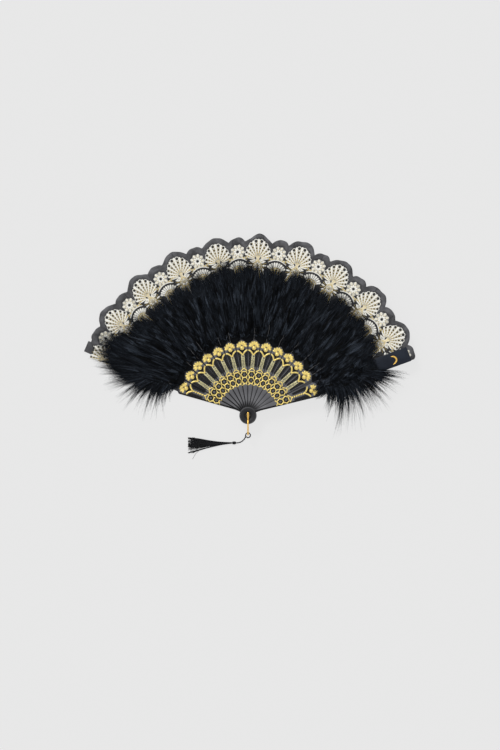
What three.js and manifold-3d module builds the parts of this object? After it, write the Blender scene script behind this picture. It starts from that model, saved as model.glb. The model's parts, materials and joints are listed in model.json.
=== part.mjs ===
// Folding hand fan with a lace and feather trim, lying open on its back, in millimetres.
// The rivet's axis is Z through the origin, the fan opens round +Y, and Z = 0 is the surface it lies on.
// Each stick lies one layer above its left neighbour, so the whole fan can close about the rivet.
import * as THREE from 'three';
import { mergeVertices } from 'three/addons/utils/BufferGeometryUtils.js';
import Module from 'manifold-3d';

const wasm = await Module();
wasm.setup();

// Spread of the sticks, in degrees, from the rear guard at the left to the front guard at the right
const ribCount = 12;
const rearGuardAngle = 156.9;
const rearGapAngle = 11.2;
const ribPitchAngle = 10.13;
const frontGapAngle = 13.3;

// Layers of one stick: its plate and relief in the handle, its slip, cloth and lace in the leaf
const plateThickness = 0.75;
const reliefHeight = 0.35;
const slipThickness = 0.45;
const clothThickness = 0.25;
const laceThickness = 0.3;
const glueGap = 0.05;
const layerClearance = 0.2;
const guardPlateThickness = 2.4;

// Plan of the sticks, measured out from the rivet; leafReach runs to the valleys of the cloth's edge
const headRadius = 11.2;
const gorgeRadius = 98.5;
const leafReach = 225.6;
const shoulderDrop = 5.5;
const neckHalfWidth = 2.4;
const neckLength = 7;
const ribShoulderHalfWidth = 8.3;
const slipGorgeHalfWidth = 4;
const slipTipHalfWidth = 2.4;
const slipSetback = 3.6;
const slipRoot = 6;
const guardShoulderHalfWidth = 9;
const guardLean = 2.6;
const frontGuardSetback = 2.6;
const frontGuardTipHalfWidth = 9.6;
const rearGuardOverhang = 3.9;
const rearGuardTipHalfWidth = 7.4;

// Gilt relief on the face of every stick
const reliefSink = 0.2;
const flowerSetback = 7.5;
const flowerRadius = 5.6;
const flowerLobe = 0.9;
const flowerEyeRadius = 1.3;
const petalCount = 7;
const eyeLobes = 3;
const beadLobes = 4;
const beadRadius = 1.9;
const lineWidth = 1.2;
const archForkRadius = 78.5;
const archTipRadius = 84.5;
const archSideGap = 0.9;
const archShares = [[0, 0], [0.45, 0.3], [0.85, 0.65], [1, 1]];
const columnRoot = 61;
const columnHalfWidth = 2.2;
const columnLine = 0.75;
const legRise = 3.6;
const cellRowRadii = [53.3, 45.4];
const cellHalfLength = 4.2;
const cellSideGap = 0.7;
const guardRopeHalfWidth = 1.5;

// Rivet through the heads, and the wire bail on its two ends
const rivetRadius = 1.25;
const rivetHeadRadius = 3.2;
const rivetHeadThickness = 0.7;
const rivetEnd = 0.5;
const boreClearance = 0.3;
const bailThickness = 0.9;
const bailWidth = 2.2;
const bailEyeRadius = 3.1;
const bailClearance = 0.15;
const bailReach = 25.8;
const bailCornerRadius = 1.8;
const bailCornerSegments = 3;

// Leaf: cloth glued along the slips, with a bump at its edge over each shell and each rosette of the lace
const leafInset = 0.6;
const marginWidth = 5;
const underlap = 2;
const endMargin = 3.4;
const shellPhaseAngle = 86.4;
const shellPitchAngle = 14.5;
const shellsEachSide = 5;
const shellBump = 11;
const rosetteBump = 5.7;
const clothEdgeShares = [[0, 1], [0.2, 0.82], [0.42, 0.42], [0.62, 0], [0.74, 0.72], [0.88, 0.96]];

// Lace: shells of nine petals and rosettes between them, on one band; setbacks run in from leafReach
const bandInnerSetback = 34.6;
const bandOuterSetback = 18.6;
const shellRootSetback = 22.6;
const shellLength = 26.6;
const shellHalfWidth = 17.6;
const shellPetals = 9;
const petalSpacingAngle = 17.5;
const petalNotch = 2.3;
const eyeletRows = 6;
const eyeletShare = 0.64;
const eyeletLength = 9;
const eyeletWidth = 1.8;
const rosetteSetback = 12.2;
const rosetteSize = 9.3;
const rosetteLobe = 1.2;
const rosetteEyeRadius = 1.8;
const crescentSetback = 27;
const crescentHalfWidth = 10.6;
const crescentRise = 4.2;
const crescentWidth = 1.5;
const crescentShares = [-1, -0.6, 0, 0.6, 1];

// Feathers: one tuft on each layer, crowned, with plume tips along its outer edge
const tuftGap = 0.3;
const tuftInset = 1;
const tuftSetback = 32.6;
const tuftFinger = 9;
const tuftEdgeHeight = 1.4;
const tuftCrown = 6.5;
const tuftRows = 5;
const plumeTips = 3;
const plumeJitterShares = [-0.25, -0.08, 0.08, 0.25];

// Tips of the plumes that droop past the two guards: share of the tufts' reach, and of the widest droop
const rearDroopAngle = 21;
const rearDroopShares = [[0.58, 1], [0.615, 0.6], [0.69, 0.98], [0.715, 0.52], [0.815, 0.83], [0.82, 0.45],
  [0.92, 0.62], [0.935, 0.36], [1.015, 0.48], [1.03, 0.19], [1.06, 0.1]];
const frontDroopAngle = 30;
const frontDroopShares = [[0.585, 0.67], [0.61, 1], [0.67, 0.6], [0.73, 0.82], [0.775, 0.55], [0.87, 0.73],
  [0.872, 0.42], [0.97, 0.53], [0.975, 0.28], [1.02, 0.23]];

// Tassel: a cord looped round the bail, a knot and a flattened skirt of threads, lying to the left
const cordRadius = 0.65;
const cordSides = 8;
const cordPath = [
  [-2.3, -28.2, 0.7], [-0.6, -29.3, 0.7], [1.3, -29.0, 1.1], [2.8, -27.6, 2.1], [3.0, -25.5, 2.8],
  [1.7, -23.6, 3.2], [-0.5, -23.0, 3.2], [-2.4, -24.3, 3.0], [-3.1, -26.5, 2.5], [-3.4, -28.6, 2.1],
  [-4.6, -30.9, 1.5], [-6.6, -33.1, 1.0], [-9.2, -34.9, 0.9], [-12.2, -35.9, 1.3], [-15.2, -36.2, 2.1],
];
const cordGap = 0.3;
const knotRadius = 2.1;
const knotLength = 5.2;
const knotNeckRadius = 1.3;
const knotBulgeShares = [[0.92, 0.18], [1, 0.45], [0.92, 0.75]];
const knotSides = 12;
const skirtLength = 57.5;
const skirtRootRadius = 1.5;
const skirtEndHalfWidth = 10.8;
const skirtEndHeight = 3.2;
const skirtRidgeShare = 0.12;
const skirtSides = 28;
const skirtDrop = 3.4;

// Rings of the skirt: how far along it, how far spread, and how far settled on to the table
const skirtRingShares = [[0, 0, 0], [0.12, 0.13, 0.3], [0.45, 0.36, 0.75], [0.75, 0.66, 0.95], [1, 1, 1]];

const circleSegments = 10;
const arcSegments = 6;
const cutOverrun = 1;
const weldTolerance = 0.00001;

const plastic = new THREE.MeshStandardMaterial({ color: 0x4c4c50, roughness: 0.45, metalness: 0.0 });
const gilt = new THREE.MeshStandardMaterial({ color: 0xd9a531, roughness: 0.3, metalness: 1.0 });
const cloth = new THREE.MeshStandardMaterial({ color: 0x3a3a3e, roughness: 0.9, metalness: 0.0 });
const ivory = new THREE.MeshStandardMaterial({ color: 0xe9e4cf, roughness: 0.8, metalness: 0.0 });
const plumage = new THREE.MeshStandardMaterial({ color: 0x10141c, roughness: 0.8, metalness: 0.0 });
const silk = new THREE.MeshStandardMaterial({ color: 0x121214, roughness: 0.6, metalness: 0.0 });

const rad = THREE.MathUtils.degToRad;
const guardIndex = ribCount + 1;
const layerPitch = Math.max(plateThickness + reliefHeight,
  slipThickness + clothThickness + laceThickness + 2 * glueGap) + layerClearance;
const firstLayer = rivetHeadThickness + bailThickness + 2 * bailClearance;
const boreRadius = rivetRadius + boreClearance;

// Radii that follow the leaf
const slipReach = leafReach - slipSetback;
const frontGuardReach = leafReach - frontGuardSetback;
const rearGuardReach = leafReach + rearGuardOverhang;
const bandInnerRadius = leafReach - bandInnerSetback;
const bandOuterRadius = leafReach - bandOuterSetback;
const shellRootRadius = leafReach - shellRootSetback;
const rosetteRadius = leafReach - rosetteSetback;
const crescentRadius = leafReach - crescentSetback;
const tuftReach = leafReach - tuftSetback;

function layerBase(index) {
  return firstLayer + index * layerPitch;
}

function stickAngle(index) {
  const lastRib = rearGuardAngle - rearGapAngle - (ribCount - 1) * ribPitchAngle;
  if (index === 0) return rearGuardAngle;
  if (index === guardIndex) return lastRib - frontGapAngle;
  return rearGuardAngle - rearGapAngle - (index - 1) * ribPitchAngle;
}

function label(stem, number) {
  return `${stem}_${String(number).padStart(2, '0')}`;
}

// Closed three.js geometry to a solid and back
function solid(geometry) {
  const plain = geometry.index ? geometry.toNonIndexed() : geometry.clone();
  plain.deleteAttribute('normal');
  plain.deleteAttribute('uv');
  const merged = mergeVertices(plain, weldTolerance);
  return new wasm.Manifold(new wasm.Mesh({
    numProp: 3,
    vertProperties: new Float32Array(merged.attributes.position.array),
    triVerts: new Uint32Array(merged.index.array),
  }));
}

function named(name, body, material) {
  const data = body.getMesh();
  const geometry = new THREE.BufferGeometry();
  geometry.setAttribute('position', new THREE.BufferAttribute(data.vertProperties, 3));
  geometry.setIndex(new THREE.BufferAttribute(data.triVerts, 1));
  geometry.computeVertexNormals();
  const mesh = new THREE.Mesh(geometry, material);
  mesh.name = name;
  return mesh;
}

function slab(shape, bottom, height, curveSegments = arcSegments) {
  const geometry = new THREE.ExtrudeGeometry(shape, { depth: height, bevelEnabled: false, curveSegments });
  geometry.translate(0, 0, bottom);
  return solid(geometry);
}

function polygon(points) {
  return new THREE.Shape(points.map(([x, y]) => new THREE.Vector2(x, y)));
}

function disc(radius, bottom, height, segments = circleSegments) {
  const geometry = new THREE.CylinderGeometry(radius, radius, height, segments);
  geometry.rotateX(Math.PI / 2);
  geometry.translate(0, 0, bottom + height / 2);
  return solid(geometry);
}

function polar(radius, angle) {
  return [radius * Math.cos(rad(angle)), radius * Math.sin(rad(angle))];
}

// Point at a reach along a stick's middle line and an offset to its left
function besideStick(index, reach, offset) {
  const [along, aside] = polar(1, stickAngle(index));
  return [reach * along - offset * aside, reach * aside + offset * along];
}

// Closed loop with one point on each lobe and one in each notch between them
function lobedLoop(x, y, radius, lobe, count) {
  const steps = count * 2;
  return Array.from({ length: steps }, (_, step) => {
    const turn = (2 * Math.PI * step) / steps;
    const reach = radius + lobe * Math.cos(count * turn);
    return [x + reach * Math.cos(turn), y + reach * Math.sin(turn)];
  });
}

// Strip of one width along a line of points
function strip(points, width) {
  const side = (sign) => points.map(([x, y], i) => {
    const before = points[Math.max(i - 1, 0)];
    const after = points[Math.min(i + 1, points.length - 1)];
    const run = Math.hypot(after[0] - before[0], after[1] - before[1]);
    const shift = (sign * width) / 2 / run;
    return [x - shift * (after[1] - before[1]), y + shift * (after[0] - before[0])];
  });
  return polygon([...side(1), ...side(-1).reverse()]);
}

function withHole(shape, points) {
  shape.holes.push(new THREE.Path(points.map(([x, y]) => new THREE.Vector2(x, y))));
  return shape;
}

function join(bodies) {
  return bodies.reduce((whole, body) => whole.add(body));
}

// Half the width of a handle at a reach, from its neck to its shoulder
function handleHalfWidth(reach, shoulderHalfWidth) {
  const neckEnd = headRadius + neckLength;
  const share = Math.max(0, (reach - neckEnd) / (gorgeRadius - shoulderDrop - neckEnd));
  return neckHalfWidth + (shoulderHalfWidth - neckHalfWidth) * share;
}

// Plan of a handle with its round head; middle gives its middle line's offset at a reach
function handleOutline(shoulderHalfWidth, middle) {
  const neckEnd = headRadius + neckLength;
  const shoulder = gorgeRadius - shoulderDrop;
  const neckTurn = Math.asin((neckHalfWidth + Math.abs(middle(headRadius))) / headRadius);
  const shape = new THREE.Shape();
  shape.absarc(0, 0, headRadius, neckTurn, 2 * Math.PI - neckTurn, false);
  shape.lineTo(neckEnd, middle(neckEnd) - neckHalfWidth);
  shape.lineTo(shoulder, middle(shoulder) - shoulderHalfWidth);
  shape.absellipse(
    shoulder, middle(shoulder), shoulderDrop, shoulderHalfWidth, -Math.PI / 2, Math.PI / 2, false);
  shape.lineTo(neckEnd, middle(neckEnd) + neckHalfWidth);
  return shape;
}

function reliefShapes(shoulderHalfWidth, middle, guard) {
  const flowerX = gorgeRadius - flowerSetback;
  const shifted = (points) => points.map(([x, y]) => [x, y + middle(x)]);
  const shapes = [];
  shapes.push(withHole(
    polygon(shifted(lobedLoop(flowerX, 0, flowerRadius, flowerLobe, petalCount))),
    shifted(lobedLoop(flowerX, 0, flowerEyeRadius, 0, eyeLobes)).reverse(),
  ));
  shapes.push(polygon(shifted(lobedLoop(flowerX - flowerRadius, 0, beadRadius, 0, beadLobes))));
  const tipSide = handleHalfWidth(archTipRadius, shoulderHalfWidth) - archSideGap;
  const fork = archForkRadius - lineWidth / 2;
  for (const side of [1, -1]) {
    shapes.push(strip(shifted(archShares.map(([along, aside]) => [
      fork + (archTipRadius - fork) * along, side * tipSide * aside,
    ])), lineWidth));
    const legSide = handleHalfWidth(columnRoot - legRise, shoulderHalfWidth) - archSideGap;
    shapes.push(strip(shifted([
      [columnRoot + lineWidth / 2, 0],
      [columnRoot - legRise, side * legSide],
    ]), lineWidth));
  }
  const bar = (halfWidth) => [
    [columnRoot, -halfWidth], [archForkRadius, -halfWidth],
    [archForkRadius, halfWidth], [columnRoot, halfWidth],
  ];
  const inner = columnHalfWidth - columnLine;
  const slot = [
    [columnRoot + lineWidth, -inner], [columnRoot + lineWidth, inner],
    [archForkRadius - lineWidth, inner], [archForkRadius - lineWidth, -inner],
  ];
  shapes.push(guard
    ? polygon(shifted(bar(guardRopeHalfWidth)))
    : withHole(polygon(shifted(bar(columnHalfWidth))), shifted(slot)));
  for (const radius of cellRowRadii) {
    const half = handleHalfWidth(radius, shoulderHalfWidth) - cellSideGap;
    const ring = (length, width) => shifted([
      [radius - length, 0], [radius - length / 2, -width], [radius + length / 2, -width],
      [radius + length, 0], [radius + length / 2, width], [radius - length / 2, width],
    ]);
    shapes.push(withHole(
      polygon(ring(cellHalfLength, half)),
      ring(cellHalfLength - lineWidth, half - lineWidth).reverse(),
    ));
  }
  return shapes;
}

function relief(plateTop, shoulderHalfWidth, middle, guard) {
  return join(reliefShapes(shoulderHalfWidth, middle, guard).map(
    (shape) => slab(shape, plateTop - reliefSink, reliefHeight + reliefSink)));
}

// Thin rib: pierced head, relief face and a bare slip for the leaf; its heights start at its own layer
function rib() {
  const straight = () => 0;
  const plate = slab(handleOutline(ribShoulderHalfWidth, straight), 0, plateThickness, circleSegments);
  const slip = slab(polygon([
    [gorgeRadius - slipRoot, -slipGorgeHalfWidth], [slipReach, -slipTipHalfWidth],
    [slipReach, slipTipHalfWidth], [gorgeRadius - slipRoot, slipGorgeHalfWidth],
  ]), 0, slipThickness);
  return plate
    .add(slip)
    .add(relief(plateThickness, ribShoulderHalfWidth, straight, false))
    .subtract(disc(boreRadius, -cutOverrun, plateThickness + reliefHeight + 2 * cutOverrun));
}

function guardLimb(reach, tipHalfWidth, middle) {
  const root = gorgeRadius - shoulderDrop;
  return polygon([
    [root, middle(root) - guardShoulderHalfWidth], [reach, -tipHalfWidth],
    [reach, tipHalfWidth], [root, middle(root) + guardShoulderHalfWidth],
  ]);
}

// Stout top guard, its heights from the underside
function frontGuard() {
  const middle = (x) => guardLean * (1 - x / frontGuardReach);
  return slab(handleOutline(guardShoulderHalfWidth, middle), 0, guardPlateThickness, circleSegments)
    .add(slab(guardLimb(frontGuardReach, frontGuardTipHalfWidth, middle), 0, guardPlateThickness))
    .add(relief(guardPlateThickness, guardShoulderHalfWidth, middle, true))
    .subtract(disc(boreRadius, -cutOverrun, guardPlateThickness + reliefHeight + 2 * cutOverrun));
}

// Bottom guard, which lies on the table; its head is recessed behind for the rivet head and the bail
function rearGuard() {
  const middle = (x) => -guardLean * (1 - x / rearGuardReach);
  const plateTop = firstLayer + plateThickness;
  const seat = firstLayer + slipThickness;
  return slab(handleOutline(guardShoulderHalfWidth, middle), 0, plateTop, circleSegments)
    .add(slab(guardLimb(rearGuardReach, rearGuardTipHalfWidth, middle), 0, seat))
    .add(relief(plateTop, guardShoulderHalfWidth, middle, true))
    .subtract(disc(headRadius + cutOverrun, -cutOverrun, firstLayer + cutOverrun))
    .subtract(disc(boreRadius, 0, plateTop + cutOverrun));
}

// Part of the leaf that shows on one layer, between its own stick and the next one
function gapOutline(index, left, right, innerRadius, outerRadius) {
  return polygon([
    besideStick(index + 1, innerRadius, right),
    besideStick(index + 1, outerRadius, right),
    besideStick(index, outerRadius, left),
    besideStick(index, innerRadius, left),
  ]);
}

function leafLimits(index) {
  return {
    left: index === 0 ? guardShoulderHalfWidth + endMargin : marginWidth,
    right: index === ribCount ? -guardShoulderHalfWidth : -underlap,
  };
}

function clothOutline() {
  const outer = [];
  const valleyShare = clothEdgeShares.find(([, bump]) => bump === 0)[0];
  const radiusAt = ([share, bump]) => leafReach + bump * (share < valleyShare ? shellBump : rosetteBump);
  const half = shellPitchAngle / 2;
  for (let shell = -shellsEachSide; shell <= shellsEachSide; shell += 1) {
    const centre = shellPhaseAngle - shell * shellPitchAngle;
    for (const entry of [...clothEdgeShares].reverse()) {
      outer.push(polar(radiusAt(entry), centre + entry[0] * half));
    }
    for (const entry of clothEdgeShares.slice(1)) {
      outer.push(polar(radiusAt(entry), centre - entry[0] * half));
    }
  }
  const inner = gorgeRadius + leafInset;
  const start = shellPhaseAngle + (shellsEachSide + 0.5) * shellPitchAngle;
  const end = shellPhaseAngle - (shellsEachSide + 0.5) * shellPitchAngle;
  const steps = 4 * shellsEachSide;
  for (let step = 0; step <= steps; step += 1) {
    outer.push(polar(inner, end + ((start - end) * step) / steps));
  }
  return polygon(outer);
}

// One shell of the lace, pointing along +X, its petals on an ellipse about its root
function shellShape() {
  const reachAt = (angle) => {
    const [along, aside] = polar(1, angle);
    return 1 / Math.hypot(along / shellLength, aside / shellHalfWidth);
  };
  const fromRoot = (reach, angle) => {
    const [along, aside] = polar(reach, angle);
    return [shellRootRadius + along, aside];
  };
  const spread = ((shellPetals - 1) / 2) * petalSpacingAngle;
  const outline = [[bandInnerRadius + petalNotch, 0]];
  for (let petal = 0; petal < shellPetals; petal += 1) {
    const angle = petal * petalSpacingAngle - spread;
    if (petal > 0) {
      const notch = angle - petalSpacingAngle / 2;
      outline.push(fromRoot(reachAt(notch) - petalNotch, notch));
    }
    outline.push(fromRoot(reachAt(angle), angle));
  }
  const shape = polygon(outline);
  for (let row = 0; row < eyeletRows; row += 1) {
    const angle = (row - (eyeletRows - 1) / 2) * petalSpacingAngle;
    const middle = reachAt(angle) * eyeletShare;
    const halfLength = (eyeletLength / 2) * (reachAt(angle) / shellLength);
    const swing = THREE.MathUtils.radToDeg(eyeletWidth / 2 / middle);
    withHole(shape, [
      fromRoot(middle - halfLength, angle), fromRoot(middle, angle - swing),
      fromRoot(middle + halfLength, angle), fromRoot(middle, angle + swing),
    ].reverse());
  }
  return shape;
}

function crescentShape() {
  const arc = (rise, halfWidth) => crescentShares.map(
    (share) => [crescentRadius + rise * (1 - share * share), share * halfWidth]);
  return polygon([
    ...arc(crescentRise, crescentHalfWidth - crescentWidth),
    ...arc(crescentRise + crescentWidth, crescentHalfWidth).reverse(),
  ]);
}

function bandOutline() {
  const start = shellPhaseAngle + shellsEachSide * shellPitchAngle;
  const end = shellPhaseAngle - shellsEachSide * shellPitchAngle;
  const steps = 6 * shellsEachSide;
  const arc = (radius) => Array.from(
    { length: steps + 1 }, (_, step) => polar(radius, start + ((end - start) * step) / steps));
  return polygon([...arc(bandOuterRadius), ...arc(bandInnerRadius).reverse()]);
}

// Whole lace edging, flat; the fan's layers take their share of it
function laceEdging() {
  const turned = (shape, angle, overrun = 0) => slab(shape, -overrun, laceThickness + 2 * overrun)
    .rotate([0, 0, angle]);
  const rosette = polygon(lobedLoop(rosetteRadius, 0, rosetteSize, rosetteLobe, petalCount));
  const eye = polygon(lobedLoop(rosetteRadius, 0, rosetteEyeRadius, 0, eyeLobes));
  const bodies = [slab(bandOutline(), 0, laceThickness)];
  const cuts = [];
  for (let shell = -shellsEachSide; shell <= shellsEachSide; shell += 1) {
    const angle = shellPhaseAngle - shell * shellPitchAngle;
    bodies.push(turned(shellShape(), angle));
    if (shell === shellsEachSide) continue;
    const between = angle - shellPitchAngle / 2;
    bodies.push(turned(rosette, between));
    cuts.push(turned(eye, between, cutOverrun));
    cuts.push(turned(crescentShape(), between, cutOverrun));
  }
  return join(bodies).subtract(join(cuts));
}

// Largest connected piece, because the fold lines cut loose slivers off the petals
function mainPiece(body) {
  const pieces = body.decompose();
  return pieces.reduce((best, piece) => (piece.volume() > best.volume() ? piece : best));
}

// Plumes of one layer: a crowned pad between its two side lines, with alternating long and short tips
function tuft(index) {
  const inner = gorgeRadius + tuftInset;
  const front = index === guardIndex;
  const leftOffset = front ? guardShoulderHalfWidth + guardLean : marginWidth;
  const rightOffset = (index === ribCount ? guardShoulderHalfWidth + guardLean : marginWidth) + tuftGap;
  const columns = plumeTips * 2;
  const reachAt = (column) => tuftReach + (column % 2 ? tuftFinger : -tuftFinger) / 2
    + tuftFinger * plumeJitterShares[(index + column * 3) % plumeJitterShares.length];
  const loop = [];
  if (front) {
    frontDroopShares.forEach(([reach, droop]) => loop.push(
      polar(tuftReach * reach, stickAngle(index) - frontDroopAngle * droop)));
  } else {
    loop.push(besideStick(index + 1, inner, rightOffset));
  }
  for (let column = 0; column <= columns; column += 1) {
    const share = column / columns;
    const reach = reachAt(column);
    const right = front
      ? besideStick(index, reach, -guardShoulderHalfWidth)
      : besideStick(index + 1, reach, rightOffset);
    const left = index === 0
      ? besideStick(index, reach, guardShoulderHalfWidth)
      : besideStick(index, reach, leftOffset);
    loop.push([right[0] + (left[0] - right[0]) * share, right[1] + (left[1] - right[1]) * share]);
  }
  if (index === 0) {
    [...rearDroopShares].reverse().forEach(([reach, droop]) => loop.push(
      polar(tuftReach * reach, stickAngle(0) + rearDroopAngle * droop)));
    loop.push(besideStick(0, inner, guardShoulderHalfWidth));
  } else {
    loop.push(besideStick(index, inner, leftOffset));
  }
  if (front) loop.push(besideStick(index, inner, -guardShoulderHalfWidth));
  return crownedPad(loop);
}

// Closed pad over a star-shaped loop: low at its rim, rising in rings to a crown at its middle
function crownedPad(loop) {
  const middle = [0, 1].map((axis) => loop.reduce((sum, point) => sum + point[axis], 0) / loop.length);
  const positions = [];
  const index = [];
  for (let ring = 0; ring < tuftRows; ring += 1) {
    const share = ring / tuftRows;
    const height = tuftEdgeHeight + (tuftCrown - tuftEdgeHeight) * Math.sin((share * Math.PI) / 2);
    for (const [x, y] of loop) {
      positions.push(x + (middle[0] - x) * share, y + (middle[1] - y) * share, height);
    }
  }
  const count = loop.length;
  const top = positions.push(middle[0], middle[1], tuftCrown) / 3 - 1;
  const base = top + 1;
  loop.forEach((point) => positions.push(point[0], point[1], 0));
  const bottom = positions.push(middle[0], middle[1], 0) / 3 - 1;
  for (let i = 0; i < count; i += 1) {
    const next = (i + 1) % count;
    for (let ring = 0; ring + 1 < tuftRows; ring += 1) {
      const [a, b] = [ring * count + i, ring * count + next];
      index.push(a, b, b + count, a, b + count, a + count);
    }
    const last = (tuftRows - 1) * count;
    index.push(last + i, last + next, top);
    index.push(base + next, base + i, bottom);
    index.push(base + i, base + next, next, base + i, next, i);
  }
  const geometry = new THREE.BufferGeometry();
  geometry.setAttribute('position', new THREE.Float32BufferAttribute(positions, 3));
  geometry.setIndex(index);
  return solid(geometry);
}

// Heights of the rivet and the bail above the table
const frontFace = layerBase(guardIndex) + guardPlateThickness + reliefHeight;
const rearEyeBottom = rivetHeadThickness + bailClearance;
const frontEyeBottom = frontFace + bailClearance;
const capBottom = frontEyeBottom + bailThickness + bailClearance;

function pivotRivet() {
  return disc(rivetHeadRadius, 0, rivetHeadThickness)
    .add(disc(rivetRadius, 0, capBottom + rivetHeadThickness + rivetEnd));
}

function rivetCap() {
  return disc(rivetHeadRadius, capBottom, rivetHeadThickness)
    .subtract(disc(boreRadius, capBottom - cutOverrun, rivetHeadThickness + 2 * cutOverrun));
}

// U of flat wire from the eye behind the rear head to the eye over the front head
function bail() {
  const top = frontEyeBottom + bailThickness;
  const side = new THREE.Shape();
  const corner = bailReach - bailCornerRadius;
  side.moveTo(0, rearEyeBottom);
  side.lineTo(corner, rearEyeBottom);
  side.absarc(corner, rearEyeBottom + bailCornerRadius, bailCornerRadius, -Math.PI / 2, 0, false);
  side.lineTo(bailReach, top - bailCornerRadius);
  side.absarc(corner, top - bailCornerRadius, bailCornerRadius, 0, Math.PI / 2, false);
  side.lineTo(0, top);
  side.lineTo(0, frontEyeBottom);
  const insideReach = bailReach - bailThickness;
  const insideCorner = bailCornerRadius - bailThickness;
  side.lineTo(insideReach - insideCorner, frontEyeBottom);
  side.lineTo(insideReach, frontEyeBottom - insideCorner);
  side.lineTo(insideReach, rearEyeBottom + bailThickness + insideCorner);
  side.lineTo(insideReach - insideCorner, rearEyeBottom + bailThickness);
  side.lineTo(0, rearEyeBottom + bailThickness);
  const wire = new THREE.ExtrudeGeometry(side, {
    depth: bailWidth, bevelEnabled: false, curveSegments: bailCornerSegments,
  });
  wire.translate(0, 0, -bailWidth / 2);
  wire.rotateX(Math.PI / 2);
  wire.rotateZ(-Math.PI / 2);
  return solid(wire)
    .add(disc(bailEyeRadius, rearEyeBottom, bailThickness))
    .add(disc(bailEyeRadius, frontEyeBottom, bailThickness))
    .subtract(disc(boreRadius, 0, top + cutOverrun));
}

// Tube of a round section, with a step each diameter of a smooth curve
function cord() {
  const points = cordPath.map(([x, y, z]) => new THREE.Vector3(x, y, z));
  const curve = new THREE.CatmullRomCurve3(points, false, 'centripetal');
  const section = new THREE.Shape();
  section.absarc(0, 0, cordRadius, 0, 2 * Math.PI, false);
  const steps = Math.round(curve.getLength() / (2 * cordRadius));
  return solid(new THREE.ExtrudeGeometry(section, {
    steps, extrudePath: curve, curveSegments: cordSides / 2,
  }));
}

const cordEnd = cordPath[cordPath.length - 1];
const knotFace = cordEnd[0] - cordGap;
const skirtFace = knotFace - knotLength - cordGap;

function knot() {
  const bulge = knotBulgeShares.map(([out, along]) => [knotRadius * out, knotLength * along]);
  const profile = [
    [0, 0], [knotNeckRadius, 0], ...bulge, [knotNeckRadius, knotLength], [0, knotLength],
  ].map(([x, y]) => new THREE.Vector2(x, y));
  const geometry = new THREE.LatheGeometry(profile, knotSides);
  geometry.rotateZ(Math.PI / 2);
  geometry.translate(knotFace, cordEnd[1], cordEnd[2]);
  return solid(geometry);
}

// Ridged skirt that opens and flattens on to the table towards its cut end
function skirt() {
  const positions = [];
  const index = [];
  for (const [along, spread, settle] of skirtRingShares) {
    const half = skirtRootRadius + (skirtEndHalfWidth - skirtRootRadius) * spread;
    const tall = skirtRootRadius + (skirtEndHeight / 2 - skirtRootRadius) * settle;
    const height = cordEnd[2] + (skirtEndHeight / 2 - cordEnd[2]) * settle;
    for (let side = 0; side < skirtSides; side += 1) {
      const turn = (2 * Math.PI * side) / skirtSides;
      const ridge = 1 - (side % 2 ? skirtRidgeShare : 0);
      positions.push(
        skirtFace - skirtLength * along,
        cordEnd[1] - skirtDrop * along + half * ridge * Math.cos(turn),
        height + tall * ridge * Math.sin(turn),
      );
    }
  }
  const start = positions.push(skirtFace, cordEnd[1], cordEnd[2]) / 3 - 1;
  const end = positions.push(skirtFace - skirtLength, cordEnd[1] - skirtDrop, skirtEndHeight / 2) / 3 - 1;
  const last = (skirtRingShares.length - 1) * skirtSides;
  for (let side = 0; side < skirtSides; side += 1) {
    const next = (side + 1) % skirtSides;
    for (let ring = 0; ring + 1 < skirtRingShares.length; ring += 1) {
      const [a, b] = [ring * skirtSides + side, ring * skirtSides + next];
      index.push(a, b + skirtSides, b, a, a + skirtSides, b + skirtSides);
    }
    index.push(side, next, start, last + next, last + side, end);
  }
  const geometry = new THREE.BufferGeometry();
  geometry.setAttribute('position', new THREE.Float32BufferAttribute(positions, 3));
  geometry.setIndex(index);
  return solid(geometry);
}

const fan = new THREE.Group();

function place(mesh, height, angle = 0) {
  const holder = new THREE.Group();
  holder.position.z = height;
  holder.rotation.z = rad(angle);
  holder.add(mesh);
  fan.add(holder);
}

// Sticks
place(named('rear_guard', rearGuard(), plastic), 0, stickAngle(0));
for (let index = 1; index <= ribCount; index += 1) {
  place(named(label('rib', index), rib(), plastic), layerBase(index), stickAngle(index));
}
place(named('front_guard', frontGuard(), plastic), layerBase(guardIndex), stickAngle(guardIndex));

// Leaf, lace and feathers, one piece of each on every layer
const clothPlate = slab(clothOutline(), 0, clothThickness);
const lacePlate = laceEdging();
const clothSeat = slipThickness + glueGap;
const laceSeat = clothSeat + clothThickness + glueGap;
const tuftSeat = laceSeat + laceThickness + glueGap;
const cutRadius = leafReach + shellBump + marginWidth;
const cutHeight = clothThickness + laceThickness + 2 * cutOverrun;
for (let index = 0; index <= ribCount; index += 1) {
  const { left, right } = leafLimits(index);
  const share = slab(gapOutline(index, left, right, gorgeRadius / 2, cutRadius), -cutOverrun, cutHeight);
  place(named(label('leaf_panel', index + 1), mainPiece(clothPlate.intersect(share)), cloth),
    layerBase(index) + clothSeat);
  place(named(label('lace', index + 1), mainPiece(lacePlate.intersect(share)), ivory),
    layerBase(index) + laceSeat);
  place(named(label('feather_tuft', index + 1), tuft(index), plumage), layerBase(index) + tuftSeat);
}
const topTuft = named(label('feather_tuft', guardIndex + 1), tuft(guardIndex), plumage);
place(topTuft, frontFace - reliefHeight + glueGap);

// Rivet, bail and tassel
place(named('pivot_rivet', pivotRivet(), gilt), 0);
place(named('rivet_cap', rivetCap(), gilt), 0);
place(named('bail', bail(), gilt), 0);
place(named('tassel_cord', cord(), silk), 0);
place(named('tassel_knot', knot(), silk), 0);
place(named('tassel_skirt', skirt(), silk), 0);

export default fan;
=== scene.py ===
"""Open hand fan with a lace and feather trim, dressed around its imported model. Lengths are in millimetres."""
import json
from math import atan2, cos, degrees as to_degrees, dist, hypot, pi, radians as rad, sin, sqrt
from random import Random, betavariate, gauss, random, seed, uniform

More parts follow.
